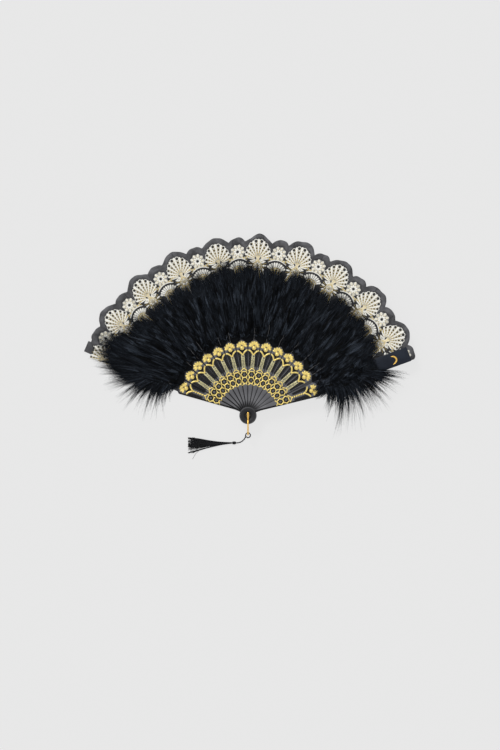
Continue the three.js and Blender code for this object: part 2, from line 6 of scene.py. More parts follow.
import bmesh
import bpy
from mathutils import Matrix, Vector

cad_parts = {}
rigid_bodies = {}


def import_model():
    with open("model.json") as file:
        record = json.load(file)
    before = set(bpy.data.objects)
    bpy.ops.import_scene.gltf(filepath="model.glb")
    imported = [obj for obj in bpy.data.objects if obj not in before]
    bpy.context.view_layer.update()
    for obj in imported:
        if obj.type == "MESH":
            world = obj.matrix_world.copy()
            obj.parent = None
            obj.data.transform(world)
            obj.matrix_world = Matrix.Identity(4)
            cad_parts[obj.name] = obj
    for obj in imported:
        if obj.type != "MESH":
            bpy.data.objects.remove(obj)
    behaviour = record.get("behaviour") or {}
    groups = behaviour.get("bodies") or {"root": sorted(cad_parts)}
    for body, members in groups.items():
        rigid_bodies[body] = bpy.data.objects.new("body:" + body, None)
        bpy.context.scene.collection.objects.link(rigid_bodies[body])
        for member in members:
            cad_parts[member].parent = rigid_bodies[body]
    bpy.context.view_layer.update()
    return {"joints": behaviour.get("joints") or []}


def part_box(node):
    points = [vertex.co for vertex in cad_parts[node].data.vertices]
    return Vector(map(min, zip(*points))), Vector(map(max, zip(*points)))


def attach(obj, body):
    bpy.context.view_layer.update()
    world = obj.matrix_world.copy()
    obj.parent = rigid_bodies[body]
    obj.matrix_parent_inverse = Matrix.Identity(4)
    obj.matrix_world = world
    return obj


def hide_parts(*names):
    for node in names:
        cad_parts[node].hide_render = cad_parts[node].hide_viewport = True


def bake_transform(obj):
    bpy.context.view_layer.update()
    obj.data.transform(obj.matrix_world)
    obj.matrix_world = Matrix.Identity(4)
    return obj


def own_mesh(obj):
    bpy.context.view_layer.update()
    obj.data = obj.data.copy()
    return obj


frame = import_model()
MM = 0.001

# Sticks, counted from the rear guard at the left to the front guard at the right
REAR_GUARD_ANGLE = 156.9
FOLDS = [joint for joint in frame["joints"] if joint["name"].startswith("fold_")]
LAST = len(FOLDS)
ANGLES = [REAR_GUARD_ANGLE - sum(fold["range_deg"][1] for fold in FOLDS[:k]) for k in range(LAST + 1)]
BODIES = [FOLDS[0]["parent"]] + [fold["child"] for fold in FOLDS]

# Plan of the sticks, out from the rivet
HEAD_RADIUS = 11.2
BORE_RADIUS = 1.55
GORGE_RADIUS = 98.5
NECK_HALF = 2.4
NECK_END = 18.2
RIB_HALF = 8.9
GUARD_HALF = 9.0
GUARD_LEAN = 2.6
SLIP_REACH = 222.0
SLIP_HALVES = (4.0, 2.4)
FRONT_REACH = 223.0
FRONT_TIP_HALF = 9.6
REAR_REACH = 229.5
REAR_TIP_HALF = 7.4
PLATE = 0.75
SLIP = 0.45
GUARD_PLATE = 2.4


def polar(radius, degrees, aside=0.0, x=0.0, y=0.0):
    """Place reached from (x, y) by going out in a direction, and then aside to its left."""
    c = cos(rad(degrees))
    s = sin(rad(degrees))
    return x + radius * c - aside * s, y + radius * s + aside * c


def turns(count, phase=0.0):
    return [phase + 360 * i / count for i in range(count)]


def circle(x, y, radius, count, phase=0.0):
    return [polar(radius, turn, 0, x, y) for turn in turns(count, phase)]


def mix(a, b, share):
    return a + (b - a) * share


def clamp(share):
    return min(1.0, max(0.0, share))


def smooth(share):
    share = clamp(share)
    return share * share * (3 - 2 * share)


def heights(node):
    """Lowest and highest point of a CAD node."""
    return [corner.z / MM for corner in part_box(node)]


def placed(name, data):
    """Adds an object to the scene."""
    made = bpy.data.objects.new(name, data)
    bpy.context.scene.collection.objects.link(made)
    return made


class Piece:
    """Points and faces of one piece; each face has a material number and each point a shade."""

    def __init__(self):
        self.points = []
        self.faces = []
        self.marks = []
        self.shades = []

    def add(self, shape, mark=0, shade=0.5):
        """Joins points and faces; the mark and the shade are one for all or a list."""
        points, faces = shape
        start = len(self.points)
        self.points += points
        self.faces += [[start + i for i in face] for face in faces]
        self.marks += mark if isinstance(mark, list) else [mark] * len(faces)
        self.shades += shade if isinstance(shade, list) else [shade] * len(points)

    def make(self, name, materials, slot):
        mesh = bpy.data.meshes.new(name)
        mesh.from_pydata([(x * MM, y * MM, z * MM) for x, y, z in self.points], [], self.faces)
        edited = bmesh.new()
        edited.from_mesh(mesh)
        bmesh.ops.recalc_face_normals(edited, faces=edited.faces)
        edited.to_mesh(mesh)
        edited.free()
        for item in materials:
            mesh.materials.append(item)
        mesh.polygons.foreach_set("material_index", self.marks)
        mesh.polygons.foreach_set("use_smooth", [True] * len(self.faces))
        mesh.attributes.new("shade", "FLOAT", "POINT").data.foreach_set("value", self.shades)
        mesh.update()
        made = placed(name, mesh)
        return made


def loft(rings, closed=True, caps=True, looped=False):
    """Faces over rings of equal count, laid one after another; looped joins the last to the first."""
    count = len(rings[0])
    total = count * len(rings)
    faces = []
    for a in range(0, total if looped else total - count, count):
        b = (a + count) % total
        for i in range(count if closed else count - 1):
            j = (i + 1) % count
            faces.append((a + i, a + j, b + j, b + i))
    if caps and closed and not looped:
        faces += [tuple(reversed(range(count))), tuple(range(total - count, total))]
    return [point for ring in rings for point in ring], faces


def side_of(path, i, ring=False):
    """Unit vector to the left of a path at its point i, seen from above."""
    before = path[i - 1] if ring else path[max(i - 1, 0)]
    after = path[(i + 1) % len(path)] if ring else path[min(i + 1, len(path) - 1)]
    dx = after[0] - before[0]
    dy = after[1] - before[1]
    length = hypot(dx, dy) or 1.0
    return -dy / length, dx / length


# Section of a raised thread or line: share of the width, share of the height
BEAD_SHARES = (
    (-0.5, -0.35), (-0.46, 0.35), (-0.25, 0.85), (0.0, 1.0), (0.25, 0.85), (0.46, 0.35), (0.5, -0.35),
)
TAPER_RATE = 3.2
DOME_SINK = 0.2


def bead(path, width, height, base=0.0, taper=0.0, shares=BEAD_SHARES, ring=False):
    """Raised line along a flat path, open or a ring, narrowed towards both ends by taper."""
    rings = []
    last = len(path) - 1
    for i, (x, y) in enumerate(path):
        sx, sy = side_of(path, i, ring)
        wide = width * (1 - taper * (1 - clamp(min(i, last - i) / last * TAPER_RATE)) ** 2)
        rings.append([(x - sx * wide * a, y - sy * wide * a, base + height * b) for a, b in shares])
    return loft(rings, looped=ring)


def dome(x, y, half_long, half_wide, turn, height, base=0.0, sides=10, levels=3):
    """Closed low dome on an oval, its long way turned from +X, its foot sunk a little."""
    rings = []
    for level in range(levels):
        out, up = polar(1.0, 90 * level / levels)
        up = base + height * up - (0 if level else DOME_SINK)
        oval = [(half_long * a, half_wide * b) for a, b in circle(0, 0, out, sides)]
        rings.append([(*polar(a, turn, b, x, y), up) for a, b in oval])
    points, faces = loft(rings, caps=False)
    top = len(points)
    faces += [(top - sides + i, top - sides + (i + 1) % sides, top) for i in range(sides)]
    return points + [(x, y, base + height)], faces + [tuple(reversed(range(sides)))]


def lathe(profile, sides):
    """Closed ring about Z from a closed profile of (radius, height)."""
    return loft([[(x, y, z) for x, y in circle(0, 0, radius, sides)] for radius, z in profile], looped=True)


def curved(points, steps):
    """Points of a smooth curve through points of any dimension, steps to each span."""
    out = []
    for i in range(len(points) - 1):
        before = points[max(i - 1, 0)]
        after = points[min(i + 2, len(points) - 1)]
        for step in range(steps):
            t = step / steps
            out.append(tuple(
                0.5 * (2 * p + (q - o) * t + (2 * o - 5 * p + 4 * q - r) * t * t
                       + (3 * p - o - 3 * q + r) * t ** 3)
                for o, p, q, r in zip(before, points[i], points[i + 1], after)
            ))
    return out + [tuple(points[-1])]


def tube(path, radius, sides, flat=1.0, fixed_side=None):
    """Closed tube along a path; its radius is a number or follows the share of the way and the turn."""
    rings = []
    last = len(path) - 1
    for i, point in enumerate(path):
        ahead = (Vector(path[min(i + 1, last)]) - Vector(path[max(i - 1, 0)])).normalized()
        side = Vector(fixed_side or Vector((0, 0, 1)).cross(ahead))
        if side.length < 0.05:
            side = Vector((1, 0, 0)).cross(ahead)
        side.normalize()
        rise = ahead.cross(side)
        ring = []
        for turn in turns(sides):
            aside, up = polar(radius(i / last, turn) if callable(radius) else radius, turn)
            ring.append(tuple(Vector(point) + side * aside + rise * (flat * up)))
        rings.append(ring)
    return loft(rings)


def socket(tree, kind, inputs, out=0, **settings):
    """Output of a new node; each input is given as a value or as the socket that feeds it."""
    made = tree.nodes.new(kind)
    for key, value in settings.items():
        setattr(made, key, value)
    for key, value in inputs.items():
        place = made.inputs[key]
        if isinstance(value, bpy.types.NodeSocket):
            tree.links.new(value, place)
        else:
            place.default_value = (*value, 1.0) if place.type == "RGBA" else value
    return made.outputs[out]


class Look:
    """One node material, with short calls for its nodes."""

    def __init__(self, name, settings):
        self.made = bpy.data.materials.new(name)
        self.made.use_nodes = True
        self.tree = self.made.node_tree
        self.shader = self.tree.nodes["Principled BSDF"]
        for key, value in settings.items():
            self.shader.inputs[key].default_value = value

    def spot(self, stretch=(1, 1, 1)):
        place = socket(self.tree, "ShaderNodeTexCoord", {}, "Object")
        return socket(self.tree, "ShaderNodeMapping", {"Vector": place, "Scale": stretch})

    def noise(self, scale, detail, stretch=(1, 1, 1), distortion=0.0):
        inputs = {"Vector": self.spot(stretch), "Scale": scale, "Detail": detail, "Distortion": distortion}
        return socket(self.tree, "ShaderNodeTexNoise", inputs)

    def wave(self, scale, direction, distortion):
        inputs = {"Vector": self.spot(), "Scale": scale, "Distortion": distortion, "Detail": 1.0}
        return socket(self.tree, "ShaderNodeTexWave", inputs, 1, bands_direction=direction)

    def shade(self):
        return socket(self.tree, "ShaderNodeAttribute", {}, "Fac", attribute_name="shade")

    def times(self, a, b):
        return socket(self.tree, "ShaderNodeMath", {0: a, 1: b}, operation="MULTIPLY")

    def mottle(self, scale, detail, *stops, **more):
        return self.ramp(self.noise(scale, detail, **more), *stops)

    def ramp(self, factor, *stops):
        """Colours between stops of (place, colour); a colour may be one number, for grey."""
        made = socket(self.tree, "ShaderNodeValToRGB", {0: factor})
        band = made.node.color_ramp
        while len(band.elements) < len(stops):
            band.elements.new(1.0)
        for element, (place, colour) in zip(band.elements, stops):
            element.position = place
            element.color = (*(colour if isinstance(colour, tuple) else (colour,) * 3), 1.0)
        return made

    def blend(self, factor, a, b, kind="MIX"):
        inputs = {0: factor, 6: a, 7: b}
        return socket(self.tree, "ShaderNodeMix", inputs, 2, data_type="RGBA", blend_type=kind)

    def set(self, name, value):
        self.tree.links.new(value, self.shader.inputs[name])

    def rough(self, scale, detail, *stops, **more):
        self.set("Roughness", self.mottle(scale, detail, *stops, **more))

    def bump(self, height, strength, depth):
        """Raises the surface and gives back the finished material."""
        self.set("Normal", socket(self.tree, "ShaderNodeBump",
                                  {"Height": height, "Strength": strength, "Distance": depth * MM}))
        return self.made


# Depth of each material's grain
PLASTIC_GRAIN = 0.06
GUARD_GRAIN = 0.05
FOIL_GRAIN = 0.08
WEAVE_GRAIN = 0.12
STITCH_GRAIN = 0.2
SILK_GRAIN = 0.1


def plastic_look():
    """Moulded charcoal plastic with rubbed patches; its shade attribute gives painted shade in the sunk ground,
    painted shadow along the edges and a painted highlight on the heads' bevels.
    """
    look = Look("black_plastic", {"Specular IOR Level": 0.15})
    patches = look.mottle(70, 4.0, (0.32, (0.098, 0.098, 0.10584)), (0.68, (0.158, 0.158, 0.16748)))
    look.set("Base Color", look.blend(look.shade(), (0.006, 0.006, 0.007), patches))
    look.rough(260, 5.0, (0.3, 0.36), (0.7, 0.52))
    return look.bump(look.noise(2400, 4.0), 0.25, PLASTIC_GRAIN)


def guard_look():
    """Smooth glossy navy-black plastic of the guards' outer limbs, with fine scratches along them."""
    look = Look("guard_plastic", {"Specular IOR Level": 0.2})
    look.set("Base Color", look.mottle(40, 3.0, (0.35, (0.004, 0.006, 0.012)), (0.7, (0.013, 0.018, 0.029))))
    look.rough(180, 6.0, (0.35, 0.26), (0.7, 0.42), stretch=(1, 6, 1))
    return look.bump(look.noise(900, 3.0, (1, 5, 1)), 0.15, GUARD_GRAIN)


def gilt_look(name, worn, light, dark, metallic):
    """Gold foil stamped on plastic: bright on top, mottled and worn through in spots."""
    look = Look(name, {"Specular IOR Level": 0.6})
    tone = look.mottle(420, 4.0, (0.3, dark), (0.62, light))
    wear = look.mottle(650, 5.0, (worn, 0.0), (worn + 0.05, 1.0), distortion=0.6)
    look.set("Base Color", look.blend(wear, (0.035, 0.033, 0.034), tone))
    look.set("Metallic", look.times(wear, metallic))
    look.rough(900, 2.0, (0.3, 0.28), (0.7, 0.46))
    return look.bump(look.noise(1500, 3.0), 0.35, FOIL_GRAIN)


def cloth_look():
    """Charcoal satin weave: warp and weft, darker in the weave's hollows as painted shade, a soft mottle of
    painted light and shade for its folds, and a faint sheen.
    """
    look = Look("leaf_cloth", {"Roughness": 0.62, "Sheen Weight": 0.25, "Sheen Roughness": 0.4})
    weave = look.times(look.wave(900, "X", 0.4), look.wave(900, "Y", 0.4))
    # Painted light and shade: the mottle stands for the light and dark of folds; the weave darkens the colour
    # in its hollows
    tone = look.mottle(90, 5.0, (0.32, (0.03, 0.03, 0.0336)), (0.68, (0.135, 0.135, 0.1458)), distortion=0.5)
    woven = look.blend(1.0, tone, look.ramp(weave, (0.0, 0.62), (0.6, 1.0)), "MULTIPLY")
    look.set("Base Color", look.blend(look.shade(), (0.005, 0.005, 0.006), woven))
    return look.bump(weave, 0.5, WEAVE_GRAIN)


def thread_look(name, light, dark, metallic, rough):
    """Satin-stitched thread: fine strands with lighter crowns, a painted highlight where the bump rises; its
    shade runs from shadowed to bright.
    """
    look = Look(name, {"Roughness": rough, "Metallic": metallic, "Sheen Weight": 0.15})
    strands = look.noise(1700, 3.0, distortion=0.3)
    # Painted highlight: the colour is lighter where the strands' bump rises
    tone = look.ramp(strands, (0.28, dark), (0.55, light))
    look.set("Base Color", look.blend(1.0, tone, look.ramp(look.shade(), (0.0, 0.3), (0.6, 1.0)), "MULTIPLY"))
    return look.bump(strands, 0.6, STITCH_GRAIN)


def down_look():
    """Dyed down: blue-black barbs, each with its own shade, which holds a tone that differs at random with
    painted shade and painted highlights, and a soft sheen.
    """
    look = Look("black_down", {"Sheen Weight": 0.02, "Sheen Roughness": 0.35, "Specular IOR Level": 0.06})
    # Painted light: the ramp runs from near black, painted shade, to a blue-grey painted highlight
    tone = look.ramp(look.shade(), (0.0, (0.0008, 0.001, 0.0013)), (0.3, (0.0055, 0.0075, 0.011)),
                     (1.0, (0.062, 0.076, 0.100)))
    streaks = look.mottle(500, 2.0, (0.3, 0.6), (0.7, 1.0))
    look.set("Base Color", look.blend(1.0, tone, streaks, "MULTIPLY"))
    look.rough(300, 2.0, (0.3, 0.42), (0.7, 0.62))
    return look.made


def quill_look():
    look = Look("grey_quill", {"Specular IOR Level": 0.5})
    look.set("Base Color", look.mottle(300, 3.0, (0.3, (0.04, 0.04, 0.045)), (0.7, (0.12, 0.12, 0.125))))
    look.rough(500, 2.0, (0.3, 0.4), (0.7, 0.55))
    return look.made


def silk_look():
    """Black rayon thread: soft shine in fine lengthwise strands, their colour lighter where the bump rises as a
    painted highlight.
    """
    look = Look("silk_cord", {"Sheen Weight": 0.02, "Sheen Roughness": 0.3, "Specular IOR Level": 0.15})
    strands = look.noise(900, 4.0, (0.4, 2.0, 1.5))
    # Painted highlight: the colour is lighter where the strands' bump rises
    look.set("Base Color", look.ramp(strands, (0.3, (0.003, 0.003, 0.004)), (0.75, (0.015, 0.015, 0.018))))
    look.set("Roughness", look.ramp(strands, (0.3, 0.34), (0.7, 0.5)))
    return look.bump(strands, 0.4, SILK_GRAIN)


PLASTIC = plastic_look()
GUARD = guard_look()
GILT = gilt_look("gilt_stamp", 0.33, (0.93, 0.75, 0.24), (0.66, 0.47, 0.11), 0.4)
PALE_GILT = gilt_look("pale_gilt", 0.4, (0.82, 0.76, 0.42), (0.50, 0.45, 0.22), 0.3)
BRASS = gilt_look("gilt_wire", 0.02, (0.86, 0.55, 0.13), (0.74, 0.44, 0.09), 0.82)
DARK_BRASS = gilt_look("dark_brass", 0.3, (0.07, 0.055, 0.03), (0.035, 0.03, 0.022), 0.6)
CLOTH_LOOK = cloth_look()
IVORY = thread_look("ivory_thread", (0.86, 0.85, 0.80), (0.62, 0.60, 0.50), 0.0, 0.55)
GOLD_THREAD = thread_look("gold_thread", (0.78, 0.60, 0.20), (0.42, 0.31, 0.08), 0.5, 0.4)
DOWN = down_look()
QUILL = quill_look()
SILK = silk_look()

# Camera: straight above, as in the photograph; the whole frame is 975 mm high where the fan lies
VIEW_FROM = Vector((2.6, 52.4, 2312.0))
LENS = 85.0
VIEW_END = 100000.0
FLOOR_HALF = 9000.0
BACKGROUND = 0.799
FLOOR_SHADOW = 0.07
SKY_STRENGTH = 0.72
SUN_STRENGTH = 1.5
SUN_SPREAD = 16.0
SUN_FROM = (-0.45, 0.8, 1.0)
WHITE = (1, 1, 1)


def make_camera():
    lens = bpy.data.cameras.new("camera")
    lens.lens = LENS
    lens.clip_end = VIEW_END * MM
    camera = placed("camera", lens)
    camera.location = VIEW_FROM * MM
    bpy.context.scene.camera = camera


def seen_directly(tree):
    """One where the ray comes from the camera, a mirror or a clear surface, and nought elsewhere."""
    path = tree.nodes.new("ShaderNodeLightPath")
    last = path.outputs["Is Camera Ray"]
    for name in ("Is Glossy Ray", "Is Transmission Ray"):
        last = socket(tree, "ShaderNodeMath", {0: last, 1: path.outputs[name]}, operation="MAXIMUM")
    return last


def make_floor():
    """Pale floor that shows as the flat background and keeps a faint shadow."""
    size = FLOOR_HALF * MM
    mesh = bpy.data.meshes.new("floor")
    corners = [(-size, -size, 0), (size, -size, 0), (size, size, 0), (-size, size, 0)]
    mesh.from_pydata(corners, [], [(0, 1, 2, 3)])
    floor = placed("floor", mesh)
    look = bpy.data.materials.new("floor")
    look.use_nodes = True
    tree = look.node_tree
    tree.nodes.clear()
    plain = socket(tree, "ShaderNodeBsdfDiffuse", {0: (BACKGROUND,) * 3})
    faint = socket(tree, "ShaderNodeBsdfDiffuse", {0: (FLOOR_SHADOW,) * 3})
    glow = socket(tree, "ShaderNodeEmission", {0: WHITE, 1: BACKGROUND - FLOOR_SHADOW})
    lit = socket(tree, "ShaderNodeAddShader", {0: faint, 1: glow})
    choice = socket(tree, "ShaderNodeMixShader", {0: seen_directly(tree), 1: plain, 2: lit})
    tree.links.new(choice, tree.nodes.new("ShaderNodeOutputMaterial").inputs[0])
    mesh.materials.append(look)


def make_light():
    world = bpy.data.worlds.new("sky")
    bpy.context.scene.world = world
    world.use_nodes = True
    tree = world.node_tree
    tree.nodes.clear()
    strength = socket(tree, "ShaderNodeMix", {0: seen_directly(tree), 2: SKY_STRENGTH, 3: BACKGROUND})
    sky = socket(tree, "ShaderNodeBackground", {0: WHITE, 1: strength})
    tree.links.new(sky, tree.nodes.new("ShaderNodeOutputWorld").inputs[0])
    lamp = bpy.data.lights.new("sun", "SUN")
    lamp.energy = SUN_STRENGTH
    lamp.angle = rad(SUN_SPREAD)
    sun = placed("sun", lamp)
    sun.rotation_euler = Vector(SUN_FROM).to_track_quat("Z", "Y").to_euler()


bpy.context.scene.view_settings.view_transform = "Standard"
make_camera()
make_floor()
make_light()

# Tassel: the cord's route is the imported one, its loop round the bail and its way to the knot
CORD_RADIUS = 0.85
CORD_PATH = [
    (-2.3, -28.2, 0.7), (-0.6, -29.3, 0.7), (1.3, -29.0, 1.1), (2.8, -27.6, 2.1), (3.0, -25.5, 2.8),
    (1.7, -23.6, 3.2), (-0.5, -23.0, 3.2), (-2.4, -24.3, 3.0), (-3.1, -26.5, 2.5), (-3.4, -28.6, 2.1),
    (-4.6, -30.9, 1.5), (-6.6, -33.1, 1.0), (-9.2, -34.9, 0.9), (-12.2, -35.9, 1.3), (-15.2, -36.2, 2.1),
]
CORD_TWIST = 2.6
CORD_PLY_SHARE = 0.16
KNOT_RADIUS = 2.2
KNOT_TURNS = 4
KNOT_STEPS = 14
KNOT_END_SHARE = 0.75
KNOT_CORD_SHARE = 0.92
SKIRT_SEED = 7
THREADS = 200
THREAD_RADIUS = 0.2
THREAD_ROOT = 0.9
# Share of the skirt's length, middle, half width, bow, lowest point and height over it
SKIRT_STATIONS = (
    (0.25, -36.9, 1.9, 0.3, 1.0, 2.0), (0.5, -37.6, 4.2, 0.6, 0.5, 2.6), (0.76, -38.45, 7.6, 0.8, 0.35, 2.47),
)
SKIRT_END_Y = -39.3
SKIRT_END_HALF = 10.4
SKIRT_END_LOW = 0.3
SKIRT_END_RISE = 2.34
SKIRT_UNEVEN = 9.0
THREAD_STRAY = 0.3
LAST_THREAD = (6.0, -7.0)


def make_cord(route):
    """Cord along its route, with the bulges of its two plies."""
    twists = sum(dist(a, b) for a, b in zip(route, route[1:])) / CORD_TWIST

    def ply(share, turn):
        return CORD_RADIUS * (1 - CORD_PLY_SHARE * (1 - cos(rad(2 * turn - 360 * twists * share))))

    piece = Piece()
    piece.add(tube(route, ply, 12))
    cord = piece.make("cord", [SILK], "silk_cord")
    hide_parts("tassel_cord")
    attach(cord, "tassel")
    return cord


def make_knot(start, end, y, z):
    """Core along X with the cord wound round it."""
    steps = KNOT_STEPS * KNOT_TURNS
    wound = []
    for step in range(steps + 1):
        share = step / steps
        out = (KNOT_RADIUS - CORD_RADIUS) * mix(KNOT_END_SHARE, 1, sin(pi * share))
        x = mix(start - CORD_RADIUS, end + CORD_RADIUS, share)
        wound.append((x, *polar(out, 360 * KNOT_TURNS * share, 0, y, z)))
    piece = Piece()
    piece.add(tube(wound, CORD_RADIUS * KNOT_CORD_SHARE, 8, fixed_side=(1, 0, 0)))
    core = [(mix(start, end, k / 4), y, z) for k in range(5)]
    piece.add(tube(core, KNOT_RADIUS - CORD_RADIUS, 12))
    knot = piece.make("knot", [SILK], "silk_cord")
    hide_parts("tassel_knot")
    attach(knot, "tassel")
    return knot


def make_skirt(y, z):
    """Loose threads that leave the knot, spread and settle on the table."""
    draw = Random(SKIRT_SEED)
    far, near = (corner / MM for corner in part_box("tassel_skirt"))
    piece = Piece()
    for k in range(THREADS):
        place = draw.uniform(-0.45, 1.0) if k % 10 else draw.uniform(-1.0, -0.4)
        place = -1.0 + 0.12 * draw.random() if k % 19 == 0 else place
        lift = draw.random()
        root = THREAD_ROOT * sqrt(draw.random())
        turn = draw.uniform(0, 360)
        tip_x = far.x + draw.uniform(0.0, 1.0) ** 2 * SKIRT_UNEVEN
        tip_y = SKIRT_END_Y + SKIRT_END_HALF * place + draw.uniform(-THREAD_STRAY, THREAD_STRAY)
        if k == THREADS - 1:
            place = -1.0
            tip_x = far.x + LAST_THREAD[0]
            tip_y = far.y + LAST_THREAD[1]
        bow = draw.uniform(-0.9, 0.9)
        points = [(near.x, *polar(root, turn, 0, y, z))]
        for share, middle, half, bent, foot, rise in SKIRT_STATIONS:
            points.append((mix(near.x, far.x, share), middle + half * place + bent * bow, foot + rise * lift))
        points.append((tip_x, tip_y, SKIRT_END_LOW + SKIRT_END_RISE * lift))
        piece.add(tube(curved(points, 3), THREAD_RADIUS, 4), 0, draw.random())
    skirt = piece.make("skirt", [SILK], "silk_cord")
    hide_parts("tassel_skirt")
    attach(skirt, "tassel")


def make_tassel():
    route = curved(CORD_PATH, 8)
    cord = make_cord(route)
    end, start = (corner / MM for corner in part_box("tassel_knot"))
    y = (start.y + end.y) / 2
    z = (start.z + end.z) / 2
    knot = make_knot(start.x, end.x, y, z)
    make_skirt(y, z)
    [tuple(value * MM for value in point) for point in route]


make_tassel()

# Rivet and bail
WIRE_HALF = 0.9
WIRE_THICK = 0.45
EYE_MIDDLE = 2.3
EYE_HALF = 0.7
ARM_START = 2.4
TONGUE_ROOT = ((5.4, 0.05), (3.3, -0.15))
TONGUE_END = 4.4
TONGUE_DROP = 0.2
TONGUE_HALF = 1.35
BAIL_REACH = 25.35
BAIL_CORNER = 1.7
CORNER_STEPS = 7
SHAFT_RADIUS = 1.25
PEEN = (0.4, 0.3)
REAR_HEAD = ((0.01, 0.02), (2.8, 0.02), (3.1, 0.25), (2.9, 0.68), (SHAFT_RADIUS, 0.7))
CAP_RADIUS = 3.1
CAP_WALL = 0.25
CAP_DOME = 0.75
CAP_BORE = 1.3
CAP_TOP = 0.95
HAIR = 0.01


def make_bail():
    """Flattened wire in a U with an eye at each end, one of them pressed into a tongue over the cap."""
    bottom, top = heights("bail")
    rear_z = bottom + WIRE_THICK
    front_z = top - WIRE_THICK
    path = [(0, -ARM_START, front_z), (0, -BAIL_REACH / 2, front_z)]
    for k in range(2 * CORNER_STEPS):
        lower = k >= CORNER_STEPS
        out, up = polar(BAIL_CORNER, 90 - 90 * (k - lower) / (CORNER_STEPS - 1))
        corner_z = rear_z + BAIL_CORNER if lower else front_z - BAIL_CORNER
        path.append((0, BAIL_CORNER - BAIL_REACH - out, corner_z + up))
    path += [(0, -BAIL_REACH / 2, rear_z), (0, -ARM_START, rear_z)]
    piece = Piece()
    flat = WIRE_THICK / WIRE_HALF
    piece.add(tube(path, WIRE_HALF, 12, flat, (1, 0, 0)))
    for height in (rear_z, front_z):
        eye = [(EYE_MIDDLE + EYE_HALF * out, height + WIRE_THICK * up) for out, up in circle(0, 0, 1, 12)]
        piece.add(lathe(eye, 32), 1)
    cap_z = heights("rivet_cap")[1] + WIRE_THICK
    (first, rise), (second, fall) = TONGUE_ROOT
    tongue = curved([(0, -first, front_z + rise), (0, -second, cap_z + fall), (0, 0, cap_z),
                     (0, TONGUE_END * 0.7, cap_z), (0, TONGUE_END, cap_z - TONGUE_DROP)], 4)
    piece.add(tube(tongue, lambda share, turn: mix(WIRE_HALF, TONGUE_HALF, share) * sqrt(1.02 - share ** 12),
                   12, flat, (1, 0, 0)))
    bail = piece.make("bail_wire", [BRASS, DARK_BRASS], "gilt_brass")
    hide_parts("bail")
    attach(bail, "bail")


def make_rivet():
    """Shaft with its flat rear head."""
    head_top = heights("pivot_rivet")[1]
    piece = Piece()
    piece.add(lathe([*REAR_HEAD, (SHAFT_RADIUS, head_top - PEEN[1]), (SHAFT_RADIUS - PEEN[0], head_top),
                     (HAIR, head_top)], 28))
    rivet = piece.make("rivet", [BRASS], "gilt_brass")
    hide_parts("pivot_rivet")
    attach(rivet, BODIES[0])


def make_cap():
    """Domed cap over which the shaft is peened."""
    foot = heights("rivet_cap")[0]
    outline = [(CAP_BORE, foot), (CAP_RADIUS, foot)]
    for degrees in range(0, 76, 15):
        out, up = polar(1.0, degrees)
        outline.append((CAP_RADIUS * out + HAIR, foot + CAP_WALL + CAP_DOME * up))
    piece = Piece()
    piece.add(lathe(outline + [(CAP_BORE, foot + CAP_TOP)], 32))
    cap = piece.make("rivet_cap_dome", [DARK_BRASS], "gilt_brass")
    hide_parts("rivet_cap")
    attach(cap, BODIES[0])


make_bail()
make_rivet()
make_cap()

# Height of each stick's layer; the rear guard's handle lies a step under the first rib
LAYERS = [heights(node)[0] for node in BODIES]
LAYERS[0] = 2 * LAYERS[1] - LAYERS[2]

# Faces of the sticks
ACROSS_SHARES = (-1, -0.965, -0.9, -0.82, -0.73, -0.62, -0.5, -0.38, -0.26, -0.13,
                 0, 0.13, 0.26, 0.38, 0.5, 0.62, 0.73, 0.82, 0.9, 0.965, 1)
HANDLE_STEP = 1.15
SHOULDER_DROP = 5.5
SHOULDER_X = GORGE_RADIUS - SHOULDER_DROP
SWELL = 2.2
FLUTE_END = 41.0
FLUTE_FADE = 5.0
FLUTE_RISE = 0.24
PANEL_X = 62.6
NOTCH_END = 87.4
NOTCH_HALF = 5.2
PANEL_DEPTH = 0.3
RIM = 1.25
WALL = 0.8
PANEL_SLOPE = 1.2
COLUMN_SLOPE = 0.3
NOTCH_SLOPE = 0.6
CELL_SLOPE = 0.15
LIP = 0.9
EDGE = 0.9
EDGE_DROP = 0.4
# Painted shadow: widths of the dark bands along a rib's left edge (first rib to last) and along its right edge,
# then along a guard's outer edge, and the fade of every band
EDGE_SHADOW = (1.25, 0.4)
GUARD_EDGE_SHADOW = 2.0
EDGE_SHADOW_FADE = 0.5
NECK_FADE = 9.0
# Painted shade in the sunk ground and on the plates' undersides
DEEP_PAINTED_SHADE = 0.0
HEAD_SHADE = 0.14
# Painted highlight on the heads' bevels
BEVEL_PAINTED_HIGHLIGHT = 0.4
FACE_SHADE = 0.95
HEAD_OVERLAP = 2.4
BEVEL_GAP = 0.4
GUARD_BEVEL = 1.3
REAR_HEAD_GAP = 0.2
RIB_BEVEL = 0.3
HAIR_LOWER = 0.02
LIMB_START = 93
LIMB_STEP = 8
FRONT_TAPER = 130.0
REAR_TAPER = 136.0
TIP_ROUND = 0.5
WING_HALF = 1.4
WING_START = 20
WING_STEP = 5
WING_LONG = 96

# Gilt relief
RELIEF = 0.42
LINE = 1.35
ARM_LINE = 2.0
FINE_LINE = 0.5
FLOWER_X = 90.9
PETALS = 7
PETAL_SPREAD = 33.0
PETAL_ROWS = (((4.1, 5.5), (2.5, 1.6), 10, 3), ((1.9, 2.3), (1.1, 0.62), 8, 2))
EYE_X = 90.3
FLOWER_EYES = (2.7, 1.0)
BEAD_X = 88.0
BEAD_RADIUS = 2.1
BEAD_RING = (2.45, 0.6)
ARCH_X = (78.3, 84.6)
COLUMN_X = (61.0, 78.3)
COLUMN_HALF = 1.9
COLUMN_LINE = 0.85
HATCHES = 11
ROPE_TURNS = 6
ROPE_HALF = (1.75, 0.95)
LEG_STEPS = (0.3, -1.2, -3.8)
LEG_SHARES = (0, 0.45, 1)
CELL_ROWS = (53.3, 45.6)
CELL_HALF_LENGTH = 4.0
CELL_WAVES = 6
CELL_WAVE = 0.1
